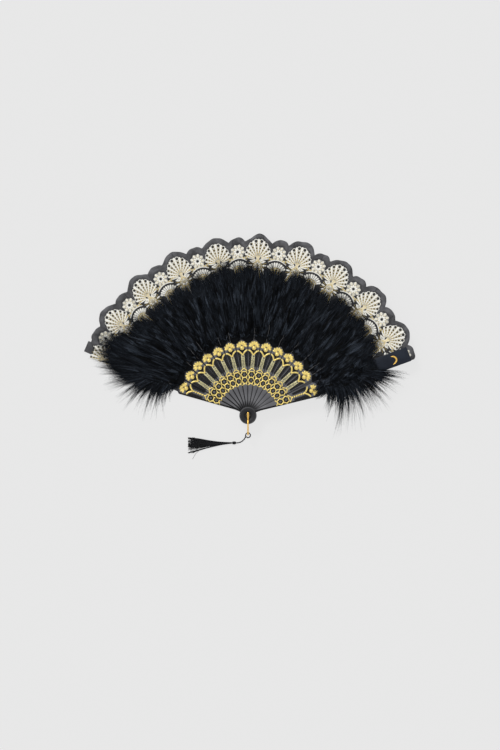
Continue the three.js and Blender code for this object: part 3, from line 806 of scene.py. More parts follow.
FRINGE_STEPS = (42.0, 40.4, 39.3)
FRINGE_SHARES = (0, 0.5, 1)
FRINGE_X = 41.7
SIDE_GAP = 1.2
LEAF_X = 64.6
LEAF_ROWS = 5
LEAF_TURN = 38
LEAF_STEP = 3.5
LEAF_HALF = (1.2, 0.4)
LEAFLET = (1.7, -0.7)
LEAFLET_HALF = (0.45, 0.35)
LEAF_RISE = 0.2
CELL_RISE = 0.25


def widened(u):
    """Share of a handle's widening from its neck to its shoulder."""
    return clamp((u - NECK_END) / (SHOULDER_X - NECK_END))


def handle_half(u, broad):
    """Half width of a handle that is broad at its shoulder, narrowing to its neck."""
    if u > SHOULDER_X:
        return broad * sqrt(max(0.04, 1 - ((u - SHOULDER_X) / SHOULDER_DROP) ** 2))
    return mix(NECK_HALF, broad, widened(u))


def arch_at(share):
    """How far out an arm of the arch lies at a share of the half width."""
    return mix(*ARCH_X, 1 - (1 - min(1.0, share)) ** 2)


def sunk(u, v, half):
    """One in the sunk panels, in the notch over the arms and in the cells, nought on the raised face."""
    off = abs(v)
    arm = arch_at(off / (half - SIDE_GAP))
    panel = smooth((u - PANEL_X) / PANEL_SLOPE) * smooth((arm - LIP - u) / WALL)
    panel *= smooth((off - COLUMN_HALF - 0.2) / COLUMN_SLOPE)
    notch = smooth((u - arm - LIP) / NOTCH_SLOPE) * smooth((NOTCH_END - u) / WALL)
    notch *= smooth((NOTCH_HALF - off) / WALL)
    cells = [hypot((u - x) / CELL_HALF_LENGTH, v / (half - SIDE_GAP)) for x in CELL_ROWS]
    return max(panel * smooth((half - off - RIM) / 0.3), notch, smooth((1.0 - min(cells)) / CELL_SLOPE))


def face_drop(u, v, half):
    """How far a handle's face lies below its plate's top."""
    drop = EDGE_DROP * (1 - smooth((half - abs(v)) / EDGE))
    flute = smooth((FLUTE_END - u) / FLUTE_FADE) * FLUTE_RISE * smooth(abs(v) / half)
    return drop + flute + PANEL_DEPTH * sunk(u, v, half)


def face_shade(u, v, half, edge_shadow):
    """Grey on the raised face, darker towards the head; near black as painted shade in the sunk ground, and in
    painted shadow bands along the two edges.
    """
    edge = smooth((half - abs(v) - edge_shadow[v < 0]) / EDGE_SHADOW_FADE)
    neck = mix(HEAD_SHADE, FACE_SHADE, smooth((u - HEAD_RADIUS) / NECK_FADE))
    return mix(DEEP_PAINTED_SHADE, neck, edge * (1 - sunk(u, v, half)))


def handle(piece, start, top, broad, middle, edge_shadow):
    """Handle of one stick along +X, its face carved and its underside flat."""
    count = round((GORGE_RADIUS - start) / HANDLE_STEP)
    rings = []
    shades = []
    for k in range(count + 1):
        u = mix(start, GORGE_RADIUS, k / count)
        half = handle_half(u, broad)
        ring = [(u, middle(u) + half * s, top - face_drop(u, half * s, half)) for s in ACROSS_SHARES]
        rings.append(ring + [(u, middle(u) + half, 0.0), (u, middle(u) - half, 0.0)])
        # Shades: painted shade in the sunk ground and on the underside, painted shadow along the edges
        shades += [face_shade(u, half * s, half, edge_shadow) for s in ACROSS_SHARES] + [DEEP_PAINTED_SHADE] * 2
    piece.add(loft(rings), 0, shades)


def bar(piece, stations, bottom, top, edge, mark=0):
    """Flat bar along +X with softened upper edges, from stations of (along, middle, half width)."""
    rings = []
    for u, middle, half in stations:
        rounding = [(1, 1), (1 - edge / half * 0.3, 0.3), (1 - edge / half, 0)]
        section = [(-s, fall) for s, fall in rounding] + [(0, 0)] + rounding[::-1]
        ring = [(u, middle + half * s, top - fall * edge * 0.8) for s, fall in section]
        rings.append(ring + [(u, middle + half, bottom), (u, middle - half, bottom)])
    piece.add(loft(rings), mark)


def limb(piece, middle, reach, tip_half, taper, top, edge, mark=0):
    """Outer limb of a guard, from its shoulder to its tip."""
    stations = [(u, middle(u), mix(GUARD_HALF, tip_half, (u - LIMB_START) / taper))
                for u in range(LIMB_START, int(SLIP_REACH), LIMB_STEP)]
    stations += [(reach - TIP_ROUND, 0.0, tip_half), (reach, 0.0, tip_half - TIP_ROUND)]
    bar(piece, stations, 0.0, top, edge, mark)


def head(piece, bottom, top, bevel, sides):
    profile = [(BORE_RADIUS, bottom), (HEAD_RADIUS, bottom)]
    for k in range(5):
        along, up = polar(bevel, 22.5 * k)
        profile.append((HEAD_RADIUS - bevel + along, top - (bevel - up) * 0.6))
    profile += [(HEAD_RADIUS - bevel - BEVEL_GAP, top), (BORE_RADIUS, top)]
    # Painted highlight: the bevel's ring is lighter than the head's faces
    shades = [BEVEL_PAINTED_HIGHLIGHT if 1 < k < len(profile) - 2 else HEAD_SHADE for k in range(len(profile))]
    piece.add(lathe(profile, sides), 0, [shade for shade in shades for _ in range(sides)])


def panel_leaves(piece, broad, middle, top):
    """Small leaves in low relief in the sunk panels on both sides of the column, and a boss in each cell; they
    take less painted shade than the ground round them, with painted highlights on the leaflets.
    """
    ground = top - PANEL_DEPTH
    # Shades lighter than the sunk ground's painted shade: painted highlights on the low relief
    for k in range(LEAF_ROWS):
        u = LEAF_X + LEAF_STEP * k
        v = (COLUMN_HALF + 0.7 + handle_half(u, broad) - RIM - 0.3) / 2
        for side in (1, -1):
            turn = side * (LEAF_TURN if k % 2 else -LEAF_TURN)
            y = middle(u) + side * v
            piece.add(dome(u, y, *LEAF_HALF, turn, LEAF_RISE, ground, 8, 2), 0, 0.3)
            y += side * LEAFLET[1]
            piece.add(dome(u + LEAFLET[0], y, *LEAFLET_HALF, turn, LEAF_RISE, ground, 6, 2), 0, 0.7)
    for u in CELL_ROWS:
        half = handle_half(u, broad) - SIDE_GAP
        piece.add(dome(u, middle(u), CELL_HALF_LENGTH * 0.5, half * 0.42, 0, CELL_RISE, ground, 12), 0, 0.7)


def gilt_ring(piece, path, width, top):
    piece.add(bead(path, width, RELIEF, top, ring=True))


def gilt_flower(piece, squeeze, middle, top):
    """Half flower in the arch with its two eyes, and the ringed bead under it."""
    spot = middle(FLOWER_X)
    for k in range(PETALS):
        turn = (k - (PETALS - 1) / 2) * PETAL_SPREAD
        along, across = polar(1.0, turn)
        for (out, aside), half, sides, levels in PETAL_ROWS:
            x = FLOWER_X + out * along
            y = spot + aside * squeeze * across
            piece.add(dome(x, y, *half, turn, RELIEF, top, sides, levels))
    for side in (1, -1):
        eye = circle(EYE_X, spot + side * FLOWER_EYES[0], FLOWER_EYES[1], 9)
        gilt_ring(piece, eye, FINE_LINE, top)
    spot = middle(BEAD_X)
    gilt_ring(piece, circle(BEAD_X, spot, BEAD_RING[0], 14), BEAD_RING[1], top)
    piece.add(dome(BEAD_X, spot, BEAD_RADIUS, BEAD_RADIUS, 0, RELIEF * 1.3, top, 14, 4))


def gilt_cells(piece, broad, middle, top):
    """Wavy ring round each cell."""
    for x in CELL_ROWS:
        half = handle_half(x, broad) - SIDE_GAP
        loop = []
        for turn in turns(20):
            out, aside = polar(1 - CELL_WAVE * cos(rad(CELL_WAVES * turn)), turn)
            loop.append((x + CELL_HALF_LENGTH * out, middle(x) + half * aside))
        gilt_ring(piece, loop, LINE * 1.1, top)


def gilt(broad, middle, top, guard):
    """Raised gilt lines of one stick: flower, bead, arch, column, legs, two rows of cells and a fringe."""
    piece = Piece()

    def line(path, width=LINE, height=RELIEF, taper=0.0, mark=0):
        piece.add(bead([(x, y + middle(x)) for x, y in path], width, height, top, taper), mark)

    gilt_flower(piece, (broad - 1.0) / RIB_HALF, middle, top)
    tip = handle_half(ARCH_X[1], broad) - SIDE_GAP
    root = handle_half(COLUMN_X[0] + LEG_STEPS[2], broad) - SIDE_GAP
    fringe = handle_half(FRINGE_X, broad) - SIDE_GAP * 0.6
    for side in (1, -1):
        line([(arch_at(k / 12), side * tip * k / 12) for k in range(13)], ARM_LINE, RELIEF * 1.15, 0.2)
        leg = [(COLUMN_X[0] + out, side * root * share) for out, share in zip(LEG_STEPS, LEG_SHARES)]
        line(curved(leg, 3))
        line([(out, side * fringe * share) for out, share in zip(FRINGE_STEPS, FRINGE_SHARES)], LINE * 0.9)
        if not guard:
            edge = [(mix(*COLUMN_X, k / 8), side * COLUMN_HALF * mix(1, 0.8, k / 8)) for k in range(9)]
            line(edge, COLUMN_LINE, mark=1)
    marks = ROPE_TURNS if guard else HATCHES
    for k in range(marks):
        u = mix(COLUMN_X[0] + 1, COLUMN_X[1] - 1, k / (marks - 1))
        if guard:
            piece.add(dome(u, middle(u), *ROPE_HALF, 32, RELIEF * 1.2, top))
        else:
            aside = COLUMN_HALF - FINE_LINE
            for slant in (COLUMN_LINE, -COLUMN_LINE):
                line([(u - slant, -aside), (u + slant, aside)], FINE_LINE, RELIEF * 0.55, mark=1)
    gilt_cells(piece, broad, middle, top)
    return piece


# Gilt crescent on the front guard's outer end, drawn as shares of its half width about a middle
SWIRL_X = 200.0
SWIRL_SHARES = (
    (-0.06, 0.5), (0.2, 0.46), (0.4, 0.34), (0.54, 0.12), (0.56, -0.12), (0.44, -0.32), (0.2, -0.5),
    (-0.14, -0.6),
)
SWIRL_WIDTH = 2.0
SWIRL_HEIGHT = 0.12
SWIRL_SINK = 0.04


def tip_swirl(top):
    piece = Piece()
    path = [(SWIRL_X + FRONT_TIP_HALF * x, FRONT_TIP_HALF * y) for x, y in SWIRL_SHARES]
    piece.add(bead(curved(path, 4), SWIRL_WIDTH, SWIRL_HEIGHT, top - SWIRL_SINK, 0.92))
    return piece


def front_plate(plate, broad, middle, carved, edge_shadow):
    """Front guard: its head stands as high as its handle."""
    top = GUARD_PLATE
    head(plate, 0.0, top, GUARD_BEVEL, 72)
    handle(plate, HEAD_RADIUS - HEAD_OVERLAP, top - HAIR_LOWER, broad, carved, edge_shadow)
    limb(plate, middle, FRONT_REACH, FRONT_TIP_HALF, FRONT_TAPER, top - 0.05, 0.6, 1)
    return top


def rear_plate(plate, broad, middle, carved, edge_shadow):
    """Rear guard: its head is recessed behind, and a neck joins it to the handle."""
    seat = LAYERS[0]
    top = seat + PLATE
    foot = seat - PLATE - REAR_HEAD_GAP
    head(plate, foot, top, RIB_BEVEL, 56)
    handle(plate, HEAD_RADIUS + 1.2, top, broad, carved, edge_shadow)
    neck = [(HEAD_RADIUS - 1.0, middle(10), NECK_HALF), (HEAD_RADIUS + 2.0, middle(13), NECK_HALF)]
    bar(plate, neck, foot, top - 0.05, 0.2)
    limb(plate, middle, REAR_REACH, REAR_TIP_HALF, REAR_TAPER, seat + SLIP - HAIR_LOWER, 0.5)
    return top


def rib_plate(plate, broad, carved, edge_shadow):
    """Rib: a head, a handle and a bare slip that tapers to its end."""
    head(plate, 0.0, PLATE, RIB_BEVEL, 40)
    handle(plate, HEAD_RADIUS - HEAD_OVERLAP, PLATE - HAIR_LOWER, broad, carved, edge_shadow)
    shares = [step / 12 for step in range(13)]
    slip = [(mix(SHOULDER_X - 0.5, SLIP_REACH, a), 0.0, mix(*SLIP_HALVES, a)) for a in shares]
    bar(plate, slip, 0.0, SLIP, 0.15)
    return PLATE


def wing(plate, half):
    """Thin wing on the last rib's side towards the front guard."""
    stations = []
    for u in range(WING_START, WING_LONG, WING_STEP):
        wide = WING_HALF * u / WING_LONG
        stations.append((u, -handle_half(u, half) - wide * 0.8, 0.3 + wide))
    bar(plate, stations, 0.05, PLATE - EDGE_DROP, 0.2)


def make_stick(k):
    """Plate and gilt of one stick, drawn along +X and turned to its place."""
    node = BODIES[k]
    front = k == LAST
    rear = k == 0
    outwards = rear - front
    guard = front or rear
    half = GUARD_HALF if guard else RIB_HALF
    reach = FRONT_REACH if front else REAR_REACH

    def middle(u):
        return -outwards * GUARD_LEAN * (1 - u / reach)

    def carved(u):
        return middle(u) + outwards * SWELL / 2 * widened(u)

    broad = half + abs(outwards) * SWELL / 2
    # Painted shadow bands along both edges: wider on the left-hand sticks, widest on each guard's outer edge
    edge_shadow = [GUARD_EDGE_SHADOW if rear else mix(*EDGE_SHADOW, k / LAST), GUARD_EDGE_SHADOW if front else EDGE_SHADOW[1]]
    plate = Piece()
    if front:
        top = front_plate(plate, broad, middle, carved, edge_shadow)
    elif rear:
        top = rear_plate(plate, broad, middle, carved, edge_shadow)
    else:
        top = rib_plate(plate, broad, carved, edge_shadow)
    if k == LAST - 1:
        wing(plate, half)
    panel_leaves(plate, half, carved, top)
    name = node.replace("rib", "stick")
    pieces = [plate.make(f"{name}_plate", [PLASTIC, GUARD], "black_plastic"),
              gilt(half, carved, top, guard).make(f"{name}_gilt", [GILT, PALE_GILT], "gilt_brass")]
    if front:
        pieces.append(tip_swirl(top).make("front_guard_swirl", [BRASS], "gilt_brass"))
    for piece in pieces:
        piece.location.z = heights(node)[0] * MM
        piece.rotation_euler.z = rad(ANGLES[k])
        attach(piece, node)
    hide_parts(node)


for number in range(LAST + 1):
    make_stick(number)

# Leaf, out from the rivet
LEAF_INNER = 99.1
LEAF_REACH = 225.6
CLOTH = 0.25
LACE = 0.3
GLUE = 0.05
SEATS = [layer + SLIP + GLUE for layer in LAYERS[:LAST]] + [LAYERS[LAST] - CLOTH - LACE - 2 * GLUE]
END_MARGINS = (12.0, 9.0)
FOLD_HALF = 12.0
SHELL_BUMP = 11.0
ROSETTE_BUMP = 5.7
SHELL_PHASE = 86.4
SHELL_PITCH = 14.5
SHELLS_EACH_SIDE = 5
VALLEY_SHARE = 0.62
VALLEY_FILL = 2.6
VALLEY_FILL_FROM = (90, 6)
LOBE_POWERS = (2.0, 2.2, 1.9, 2.0, 2.2, 1.35, 3.2, 2.0, 3.0, 1.8, 2.0)
LEFT_DRAWN_IN = 0.0125
LEFT_FROM = (91, 9)
EDGE_WANDER = 0.7
CORNER_ANGLE = 2.6
CORNER_REACH = 219.5
PUCKER = 0.22
FLUTTER = 0.4
SLIP_PLAY = 0.4

# Lace on the leaf, and the cloth's shade: near black inside the lace's edge, a dark lining with painted shade
# in the lace's holes and under the down, and painted shade in the edge's notches
LACE_MIDDLE = LEAF_REACH * 0.94
SHELL_ROOT = 203.0
SHELL_LONG = 26.6
SHELL_HALF = 17.6
ROSETTE_RADIUS = 213.3
ROSETTE_HALF = 9.6
# Painted shade: the dark lining's shade inside the lace's edge, the width over which it fades into the cloth,
# and the notches' painted shade
UNDER_LACE_SHADE = 0.02
UNDER_LACE_FADE = (0.4, 2.2)
NOTCH_HIGH = 5.5
NOTCH_PAINTED_SHADE = 0.45


def direction(x, y):
    return to_degrees(atan2(y, x)) % 360


def left_scale(angle):
    """The left part of the edging lies a little nearer to the rivet than the right part."""
    return 1 - LEFT_DRAWN_IN * smooth((angle - LEFT_FROM[0]) / LEFT_FROM[1])


def edge_radius(angle):
    """Radius of the scalloped edge: high over each shell, low over each rosette, with one corner cut away."""
    half = SHELL_PITCH / 2
    number, place = divmod(SHELL_PHASE + half - angle, SHELL_PITCH)
    share = abs(place - half) / half
    floor = VALLEY_FILL * smooth((angle - VALLEY_FILL_FROM[0]) / VALLEY_FILL_FROM[1])
    if share < VALLEY_SHARE:
        power = LOBE_POWERS[min(max(int(number) + SHELLS_EACH_SIDE, 0), 2 * SHELLS_EACH_SIDE)]
        edge = LEAF_REACH + mix(floor, SHELL_BUMP, 1 - (share / VALLEY_SHARE) ** power)
    else:
        edge = LEAF_REACH + mix(floor, ROSETTE_BUMP, 1 - ((1 - share) / (1 - VALLEY_SHARE)) ** 3)
    edge += EDGE_WANDER * (sin(angle * 0.83) + 0.3 * sin(angle * 2.3 + 1.0))
    edge *= left_scale(angle)
    cut = smooth((angle - ANGLES[0] + CORNER_ANGLE) / CORNER_ANGLE)
    return mix(edge, min(edge, CORNER_REACH), cut)


def lace_edge(angle):
    """Radius that the lace reaches in a direction."""
    offset = abs((angle - SHELL_PHASE + SHELL_PITCH / 2) % SHELL_PITCH - SHELL_PITCH / 2)
    aside = LACE_MIDDLE * rad(offset) / SHELL_HALF
    beside = LACE_MIDDLE * rad(SHELL_PITCH / 2 - offset) / ROSETTE_HALF
    over_shell = SHELL_ROOT + SHELL_LONG * sqrt(max(0.0, 1 - aside ** 2))
    over_rosette = ROSETTE_RADIUS + ROSETTE_HALF * sqrt(1 - beside ** 2) if beside < 1 else 0
    return max(over_shell, over_rosette) * left_scale(angle)


def ground_shade(radius, angle):
    """Near black inside the lace's edge, a dark lining with painted shade in the lace's holes and under the
    down; cloth beyond it, with painted shade as it nears the lace, and painted shade where the edge has a
    notch.
    """
    notch = smooth((LEAF_REACH + NOTCH_HIGH - edge_radius(angle) / left_scale(angle)) / NOTCH_HIGH)
    beyond = smooth((radius - lace_edge(angle) - UNDER_LACE_FADE[0]) / UNDER_LACE_FADE[1])
    return mix(UNDER_LACE_SHADE, 1 - NOTCH_PAINTED_SHADE * notch, beyond)


def gap_at(angle):
    """Number of the gap between two sticks that a direction lies in; the last ones run on outwards."""
    return next((k for k in range(LAST - 1) if angle > ANGLES[k + 1]), LAST - 1)


def cloth_height(k, radius, angle):
    """Underside of the cloth: flat on both slips and rising from the lower to the upper between them."""
    gap = ANGLES[k] - ANGLES[k + 1]
    along = (radius - GORGE_RADIUS) / (SLIP_REACH - GORGE_RADIUS)
    held = (mix(*SLIP_HALVES, min(1.0, along)) + SLIP_PLAY) / (radius * rad(gap))
    free = smooth(((ANGLES[k] - angle) / gap - held) / (1 - 2 * held))
    wave = sin(radius * 0.16 + k * 2.1) + sin(radius * 0.41 + k * 4.7 + angle)
    edge = smooth((radius - SLIP_REACH + 3) / 8) * (sin(rad(angle) * 31 + k) + sin(rad(angle) * 93))
    return mix(SEATS[k], SEATS[k + 1], free) + PUCKER * 4 * free * (1 - free) * wave + FLUTTER * edge


def bend(piece, k):
    """Bakes the transform of a piece of gap k into its mesh; the fold's middle, centre and crossing are worked
    out but not used.
    """
    middle = (ANGLES[k] + ANGLES[k + 1]) / 2
    centre = Vector((*polar((LEAF_INNER + LEAF_REACH) / 2, middle), SEATS[k]))
    across = Vector((*polar(FOLD_HALF, middle - 90), 0))
    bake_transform(piece)


# Cloth: a panel in each gap
PANEL_COLUMNS = 30
INNER_ROWS = 9
OUTER_ROWS = 16
LACE_INNER = 186.0


def margins(k):
    """How far the cloth of gap k goes on past the first and past the last stick."""
    return END_MARGINS[0] * (k == 0), END_MARGINS[1] * (k == LAST - 1)


def panel(k):
    gap = ANGLES[k] - ANGLES[k + 1]
    before, after = (margin / (LEAF_REACH * rad(gap)) for margin in margins(k))
    rows = []
    shades = []
    for row in range(INNER_ROWS + OUTER_ROWS + 1):
        ring = []
        for column in range(PANEL_COLUMNS + 1):
            angle = ANGLES[k] - gap * mix(-before, 1 + after, column / PANEL_COLUMNS)
            radius = mix(LEAF_INNER, LACE_INNER, row / INNER_ROWS)
            if row >= INNER_ROWS:
                radius = mix(LACE_INNER, edge_radius(angle), (row - INNER_ROWS) / OUTER_ROWS)
            ring.append((*polar(radius, angle), cloth_height(k, radius, angle)))
            shades.append(ground_shade(radius, angle))
        rows.append(ring)
    piece = Piece()
    piece.add(loft(rows, closed=False), 0, shades)
    made = piece.make(f"leaf_cloth_{k + 1:02d}", [CLOTH_LOOK], "leaf_cloth")
    weave = made.modifiers.new("cloth", "SOLIDIFY")
    weave.thickness = CLOTH * MM
    weave.offset = 1.0
    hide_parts(f"leaf_panel_{k + 1:02d}")
    bend(made, k)
    return made


def panel_cut(k):
    """Width, length and area of the flat cloth of gap k, in metres."""
    gap = rad(ANGLES[k] - ANGLES[k + 1])
    extra = sum(margins(k))
    width = ((LEAF_REACH + SHELL_BUMP) * gap + extra) * MM
    length = (LEAF_REACH + SHELL_BUMP - LEAF_INNER) * MM
    reach = LEAF_REACH + ROSETTE_BUMP
    area = (gap * (reach ** 2 - LEAF_INNER ** 2) / 2 + extra * (reach - LEAF_INNER) * 0.8) * MM * MM
    return (width, length), area


PANELS = [panel(k) for k in range(LAST)]

# Lace edging, drawn flat round the whole leaf, laid on the cloth and then cut at the sticks
LACE_SHARES = ((-0.5, -0.25), (-0.32, 0.7), (0.0, 1.0), (0.32, 0.7), (0.5, -0.25))
SATIN_SHARES = ((-1, -0.1), (-0.8, 0.55), (-0.35, 0.95), (0, 1.0), (0.35, 0.95), (0.8, 0.55), (1, -0.1))
SATIN_HEIGHT = 0.9
THREAD = 0.85
THREAD_HEIGHT = 0.75
GOLD_WIDTH = 0.5
GOLD_HEIGHT = 0.6
SHELL_PETALS = 9
PETAL_PITCH = 17.5
PETAL_ROOT_SHARE = 0.24
PETAL_FOOT = 0.5
PETAL_GROWTH = 0.34
EYELETS = 4
EYELET_FOOT = 0.3
EYELET_GROWTH = 0.33
EYELET_THREAD_SHARE = 0.34
KNOT_THREADS = 11
KNOT_STARTS = (7.4, 2.2)
KNOT_ROWS = ((200.4, 0.6), (195.0, 1.0), (177.0, 2.2))
BASE_FLOWER_RADIUS = 195.0
BASE_RING = 5.6
BASE_PETAL = (3.3, (1.6, 1.15), 1.0)
SIDE_LEAVES = ((84, 5.0, 13.0), (104, 4.0, 10.5), (126, 3.5, 8.0))
SIDE_LEAF_WIDTH = 1.9
KNOT_LEAVES = ((28, 2.2), (58, 2.8), (90, 3.0), (124, 2.4))
KNOT_LEAF_START = 6.0
KNOT_LEAF_HALF = 1.25
KNOT_LEAF_TURN = 15
ROSETTE_PETALS = 9
ROSETTE_RING = (6.6, 5.2)
# Forms of the rosette's petals and of what lies between them: way out, half sizes, height
ROSETTE_LOOP = (7.1, (2.7, 2.0), 0.85)
ROSETTE_INNER = (3.7, (2.3, 1.5), 0.95)
ROSETTE_DOT = (5.4, (0.75, 0.45), 0.8)
DOT_SWING = 17.189
ROSETTE_STITCH = ((4.6, 2.865), (7.0, 9.167), (8.8, 2.292))
LAST_ROSETTE_SHIFT = 3.0
CRESCENT_RADIUS = 200.5
CRESCENT_RISE = 4.2
CRESCENT_HALF = 11.6
FAN_ROOT = 187.5
FAN_PETALS = 9
FAN_PITCH = 14.0
FAN_REACHES = (7.7, 14.2)
FAN_ARCS = ((7.1, 1), (6.0, 0), (4.8, 1))
FAN_THREADS = 9
FAN_ROWS = ((191.5, 1.3), (185.5, 1.6), (177.0, 2.0))
LOOP_START = (204.7, 5.2)
LOOP_STEP = 1.75
LOOP_BEND = (-0.25, 0.09)
LOOP_RADIUS = 0.95
LACE_SEED = 11
LACE_INSET = 1.5
LACE_ENDS = (-11.5, 8.0)
LACE_RISE = 0.56
LACE_CREST = 0.95


def shell_reach(degrees):
    along, aside = polar(1.0, degrees)
    return 1 / hypot(along / SHELL_LONG, aside / SHELL_HALF)


def stitch(piece, path, width, height, mark, shade, taper=0.0, ring=False):
    """Thread on the lace's ground: ivory with mark 0 and gold with mark 1."""
    piece.add(bead(path, width, height, 0.0, taper, LACE_SHARES, ring), mark, shade)


def knob(piece, x, degrees, form, sides, shade, mark=0, levels=2, swing=0.0):
    """Low dome that points away from (x, 0); its form says how far out, its half sizes and its height."""
    out, halves, height = form
    place = polar(out, degrees + swing, 0, x)
    piece.add(dome(*place, *halves, degrees, height, 0, sides, levels), mark, shade)


def satin(piece, x, degrees, start, end, foot, growth, shade, height=SATIN_HEIGHT, stations=9):
    """Padded satin petal along a ray from (x, 0), its width growing from foot, its far end round."""
    rings = []
    for k in range(stations + 1):
        share = k / stations
        out = mix(start, end, sin(share * pi / 2) if share > 0.5 else share * sqrt(2))
        half = (foot + out * growth) / 2
        rounding = sqrt(max(0.0, 1 - max(0.0, (out - end + half) / half) ** 2))
        half *= max(0.12, rounding)
        rise = height * (0.45 + 0.55 * rounding)
        rings.append([(*polar(out, degrees, half * across, x), rise * up) for across, up in SATIN_SHARES])
    piece.add(loft(rings), 0, shade)


def shell(piece):
    """One scallop of the lace along +X: padded petals, rows of eyelets between them and gilt threads."""
    spread = (SHELL_PETALS - 1) / 2
    pitch = rad(PETAL_PITCH)
    for k in range(SHELL_PETALS):
        degrees = (k - spread) * PETAL_PITCH
        reach = shell_reach(degrees)
        satin(piece, SHELL_ROOT, degrees, reach * PETAL_ROOT_SHARE, reach, PETAL_FOOT, pitch * PETAL_GROWTH,
              uniform(0.62, 0.9))
        for side in (-1, 1):
            path = []
            for step in range(6):
                out = reach * mix(PETAL_ROOT_SHARE, 0.9, step / 5)
                path.append(polar(out, degrees, (EYELET_FOOT + out * pitch * 0.25) * side, SHELL_ROOT))
            stitch(piece, path, GOLD_WIDTH, GOLD_HEIGHT, 1, 0.6, 0.4)
    for k in range(SHELL_PETALS - 1):
        degrees = (k + 0.5 - spread) * PETAL_PITCH
        reach = shell_reach(degrees) + 0.5
        out = reach
        for _ in range(EYELETS):
            half = EYELET_FOOT + out * pitch * EYELET_GROWTH
            out -= half
            thread = half * EYELET_THREAD_SHARE
            eyelet = circle(*polar(out, degrees, 0, SHELL_ROOT), half - thread / 2, 12, degrees)
            stitch(piece, eyelet, thread, THREAD_HEIGHT, 0, uniform(0.65, 0.95), ring=True)
            out -= half * 0.94
        gold = [polar(along, degrees, 0, SHELL_ROOT) for along in (reach * 0.3, out * 0.7, out)]
        stitch(piece, gold, GOLD_WIDTH * 1.5, THREAD_HEIGHT, 1, 0.7, 0.3)


def root_knot(piece):
    """Threads drawn together under a shell, the small flower on them, and leaves on each side."""
    for k in range(KNOT_THREADS):
        aside = k - (KNOT_THREADS - 1) / 2
        path = [polar(out, aside * 9, 0, SHELL_ROOT) for out in KNOT_STARTS]
        path += [(x, aside * pitch) for x, pitch in KNOT_ROWS]
        stitch(piece, curved(path, 3), THREAD * 0.85, THREAD_HEIGHT, k % 2, uniform(0.4, 0.9))
    for turn in turns(8):
        knob(piece, BASE_FLOWER_RADIUS, turn, BASE_PETAL, 8, uniform(0.2, 0.6))
    stitch(piece, circle(BASE_FLOWER_RADIUS, 0, BASE_RING, 18), 0.7, 0.9, 1, 0.5, ring=True)
    for side in (-1, 1):
        for turn, start, end in SIDE_LEAVES:
            satin(piece, SHELL_ROOT, side * turn, start, end, SIDE_LEAF_WIDTH, 0, uniform(0.4, 0.8), 0.8, 5)
        for turn, size in KNOT_LEAVES:
            form = (KNOT_LEAF_START + size, (size, KNOT_LEAF_HALF), 0.8)
            knob(piece, BASE_FLOWER_RADIUS, side * turn, form, 12, uniform(0.4, 0.8))
            start = KNOT_LEAF_START + 0.3
            path = [
                polar(out, side * (turn + KNOT_LEAF_TURN), 0, BASE_FLOWER_RADIUS)
                for out in (start, start + size * 2)
            ]
            stitch(piece, curved(path, 3), GOLD_WIDTH, GOLD_HEIGHT, 1, 0.5)


def small_fan(piece):
    """Satin fan with its arcs and threads that stands under a rosette's crescent hole."""
    for k in range(FAN_PETALS):
        degrees = (k - (FAN_PETALS - 1) / 2) * FAN_PITCH
        satin(piece, FAN_ROOT, degrees, *FAN_REACHES, 0.3, rad(FAN_PITCH) * 0.78, uniform(0.5, 0.85), 0.8, 5)
    for reach, mark in FAN_ARCS:
        arc = [(FAN_ROOT + reach * cos(rad(a)), reach * 1.08 * sin(rad(a))) for a in range(-66, 67, 12)]
        stitch(piece, arc, 0.9, 0.7, mark, 0.6)
    for k in range(FAN_THREADS):
        path = [(out, (k - (FAN_THREADS - 1) / 2) * pitch) for out, pitch in FAN_ROWS]
        stitch(piece, path, THREAD * 0.8, THREAD_HEIGHT, k % 2, uniform(0.2, 0.7))


def rosette(piece, x):
    """Round flower between two shells: petals round a dark eye, the crescent hole, a small fan below."""
    # Painted shade: the ring under the petals takes the lowest shade, so the gaps between the petals read dark
    stitch(piece, circle(x, 0, ROSETTE_RING[0], 24), ROSETTE_RING[1], 0.4, 0, 0.0, ring=True)
    half = 180 / ROSETTE_PETALS
    for turn in turns(ROSETTE_PETALS, half):
        knob(piece, x, turn, ROSETTE_LOOP, 12, uniform(0.35, 0.95), levels=3)
        for side in (-1, 1):
            path = [polar(out, turn + side * off, 0, x) for out, off in ROSETTE_STITCH]
            stitch(piece, path, GOLD_WIDTH * 1.2, 1.1, 1, 0.5, 0.5)
        knob(piece, x, turn + half, ROSETTE_INNER, 8, uniform(0.6, 0.9))
        knob(piece, x, turn + half, ROSETTE_DOT, 6, 0.6, 1, swing=DOT_SWING)
    arch = [(CRESCENT_RADIUS + CRESCENT_RISE * (1 - u * u / 16), CRESCENT_HALF * u / 4) for u in range(-4, 5)]
    stitch(piece, curved(arch, 2), 1.5, 0.85, 0, 0.7, 0.3)
    stitch(piece, [(out + 1.3, aside * 1.06) for out, aside in arch], GOLD_WIDTH, GOLD_HEIGHT, 1, 0.5)
    small_fan(piece)
    for side in (-1, 1):
        for step in range(7):
            out = LOOP_START[0] + LOOP_BEND[0] * step + LOOP_BEND[1] * step * step
            loop = circle(out, side * (LOOP_START[1] + LOOP_STEP * step), LOOP_RADIUS, 7, to_degrees(step))
            stitch(piece, loop, THREAD, 0.65, step % 2, 0.65, ring=True)


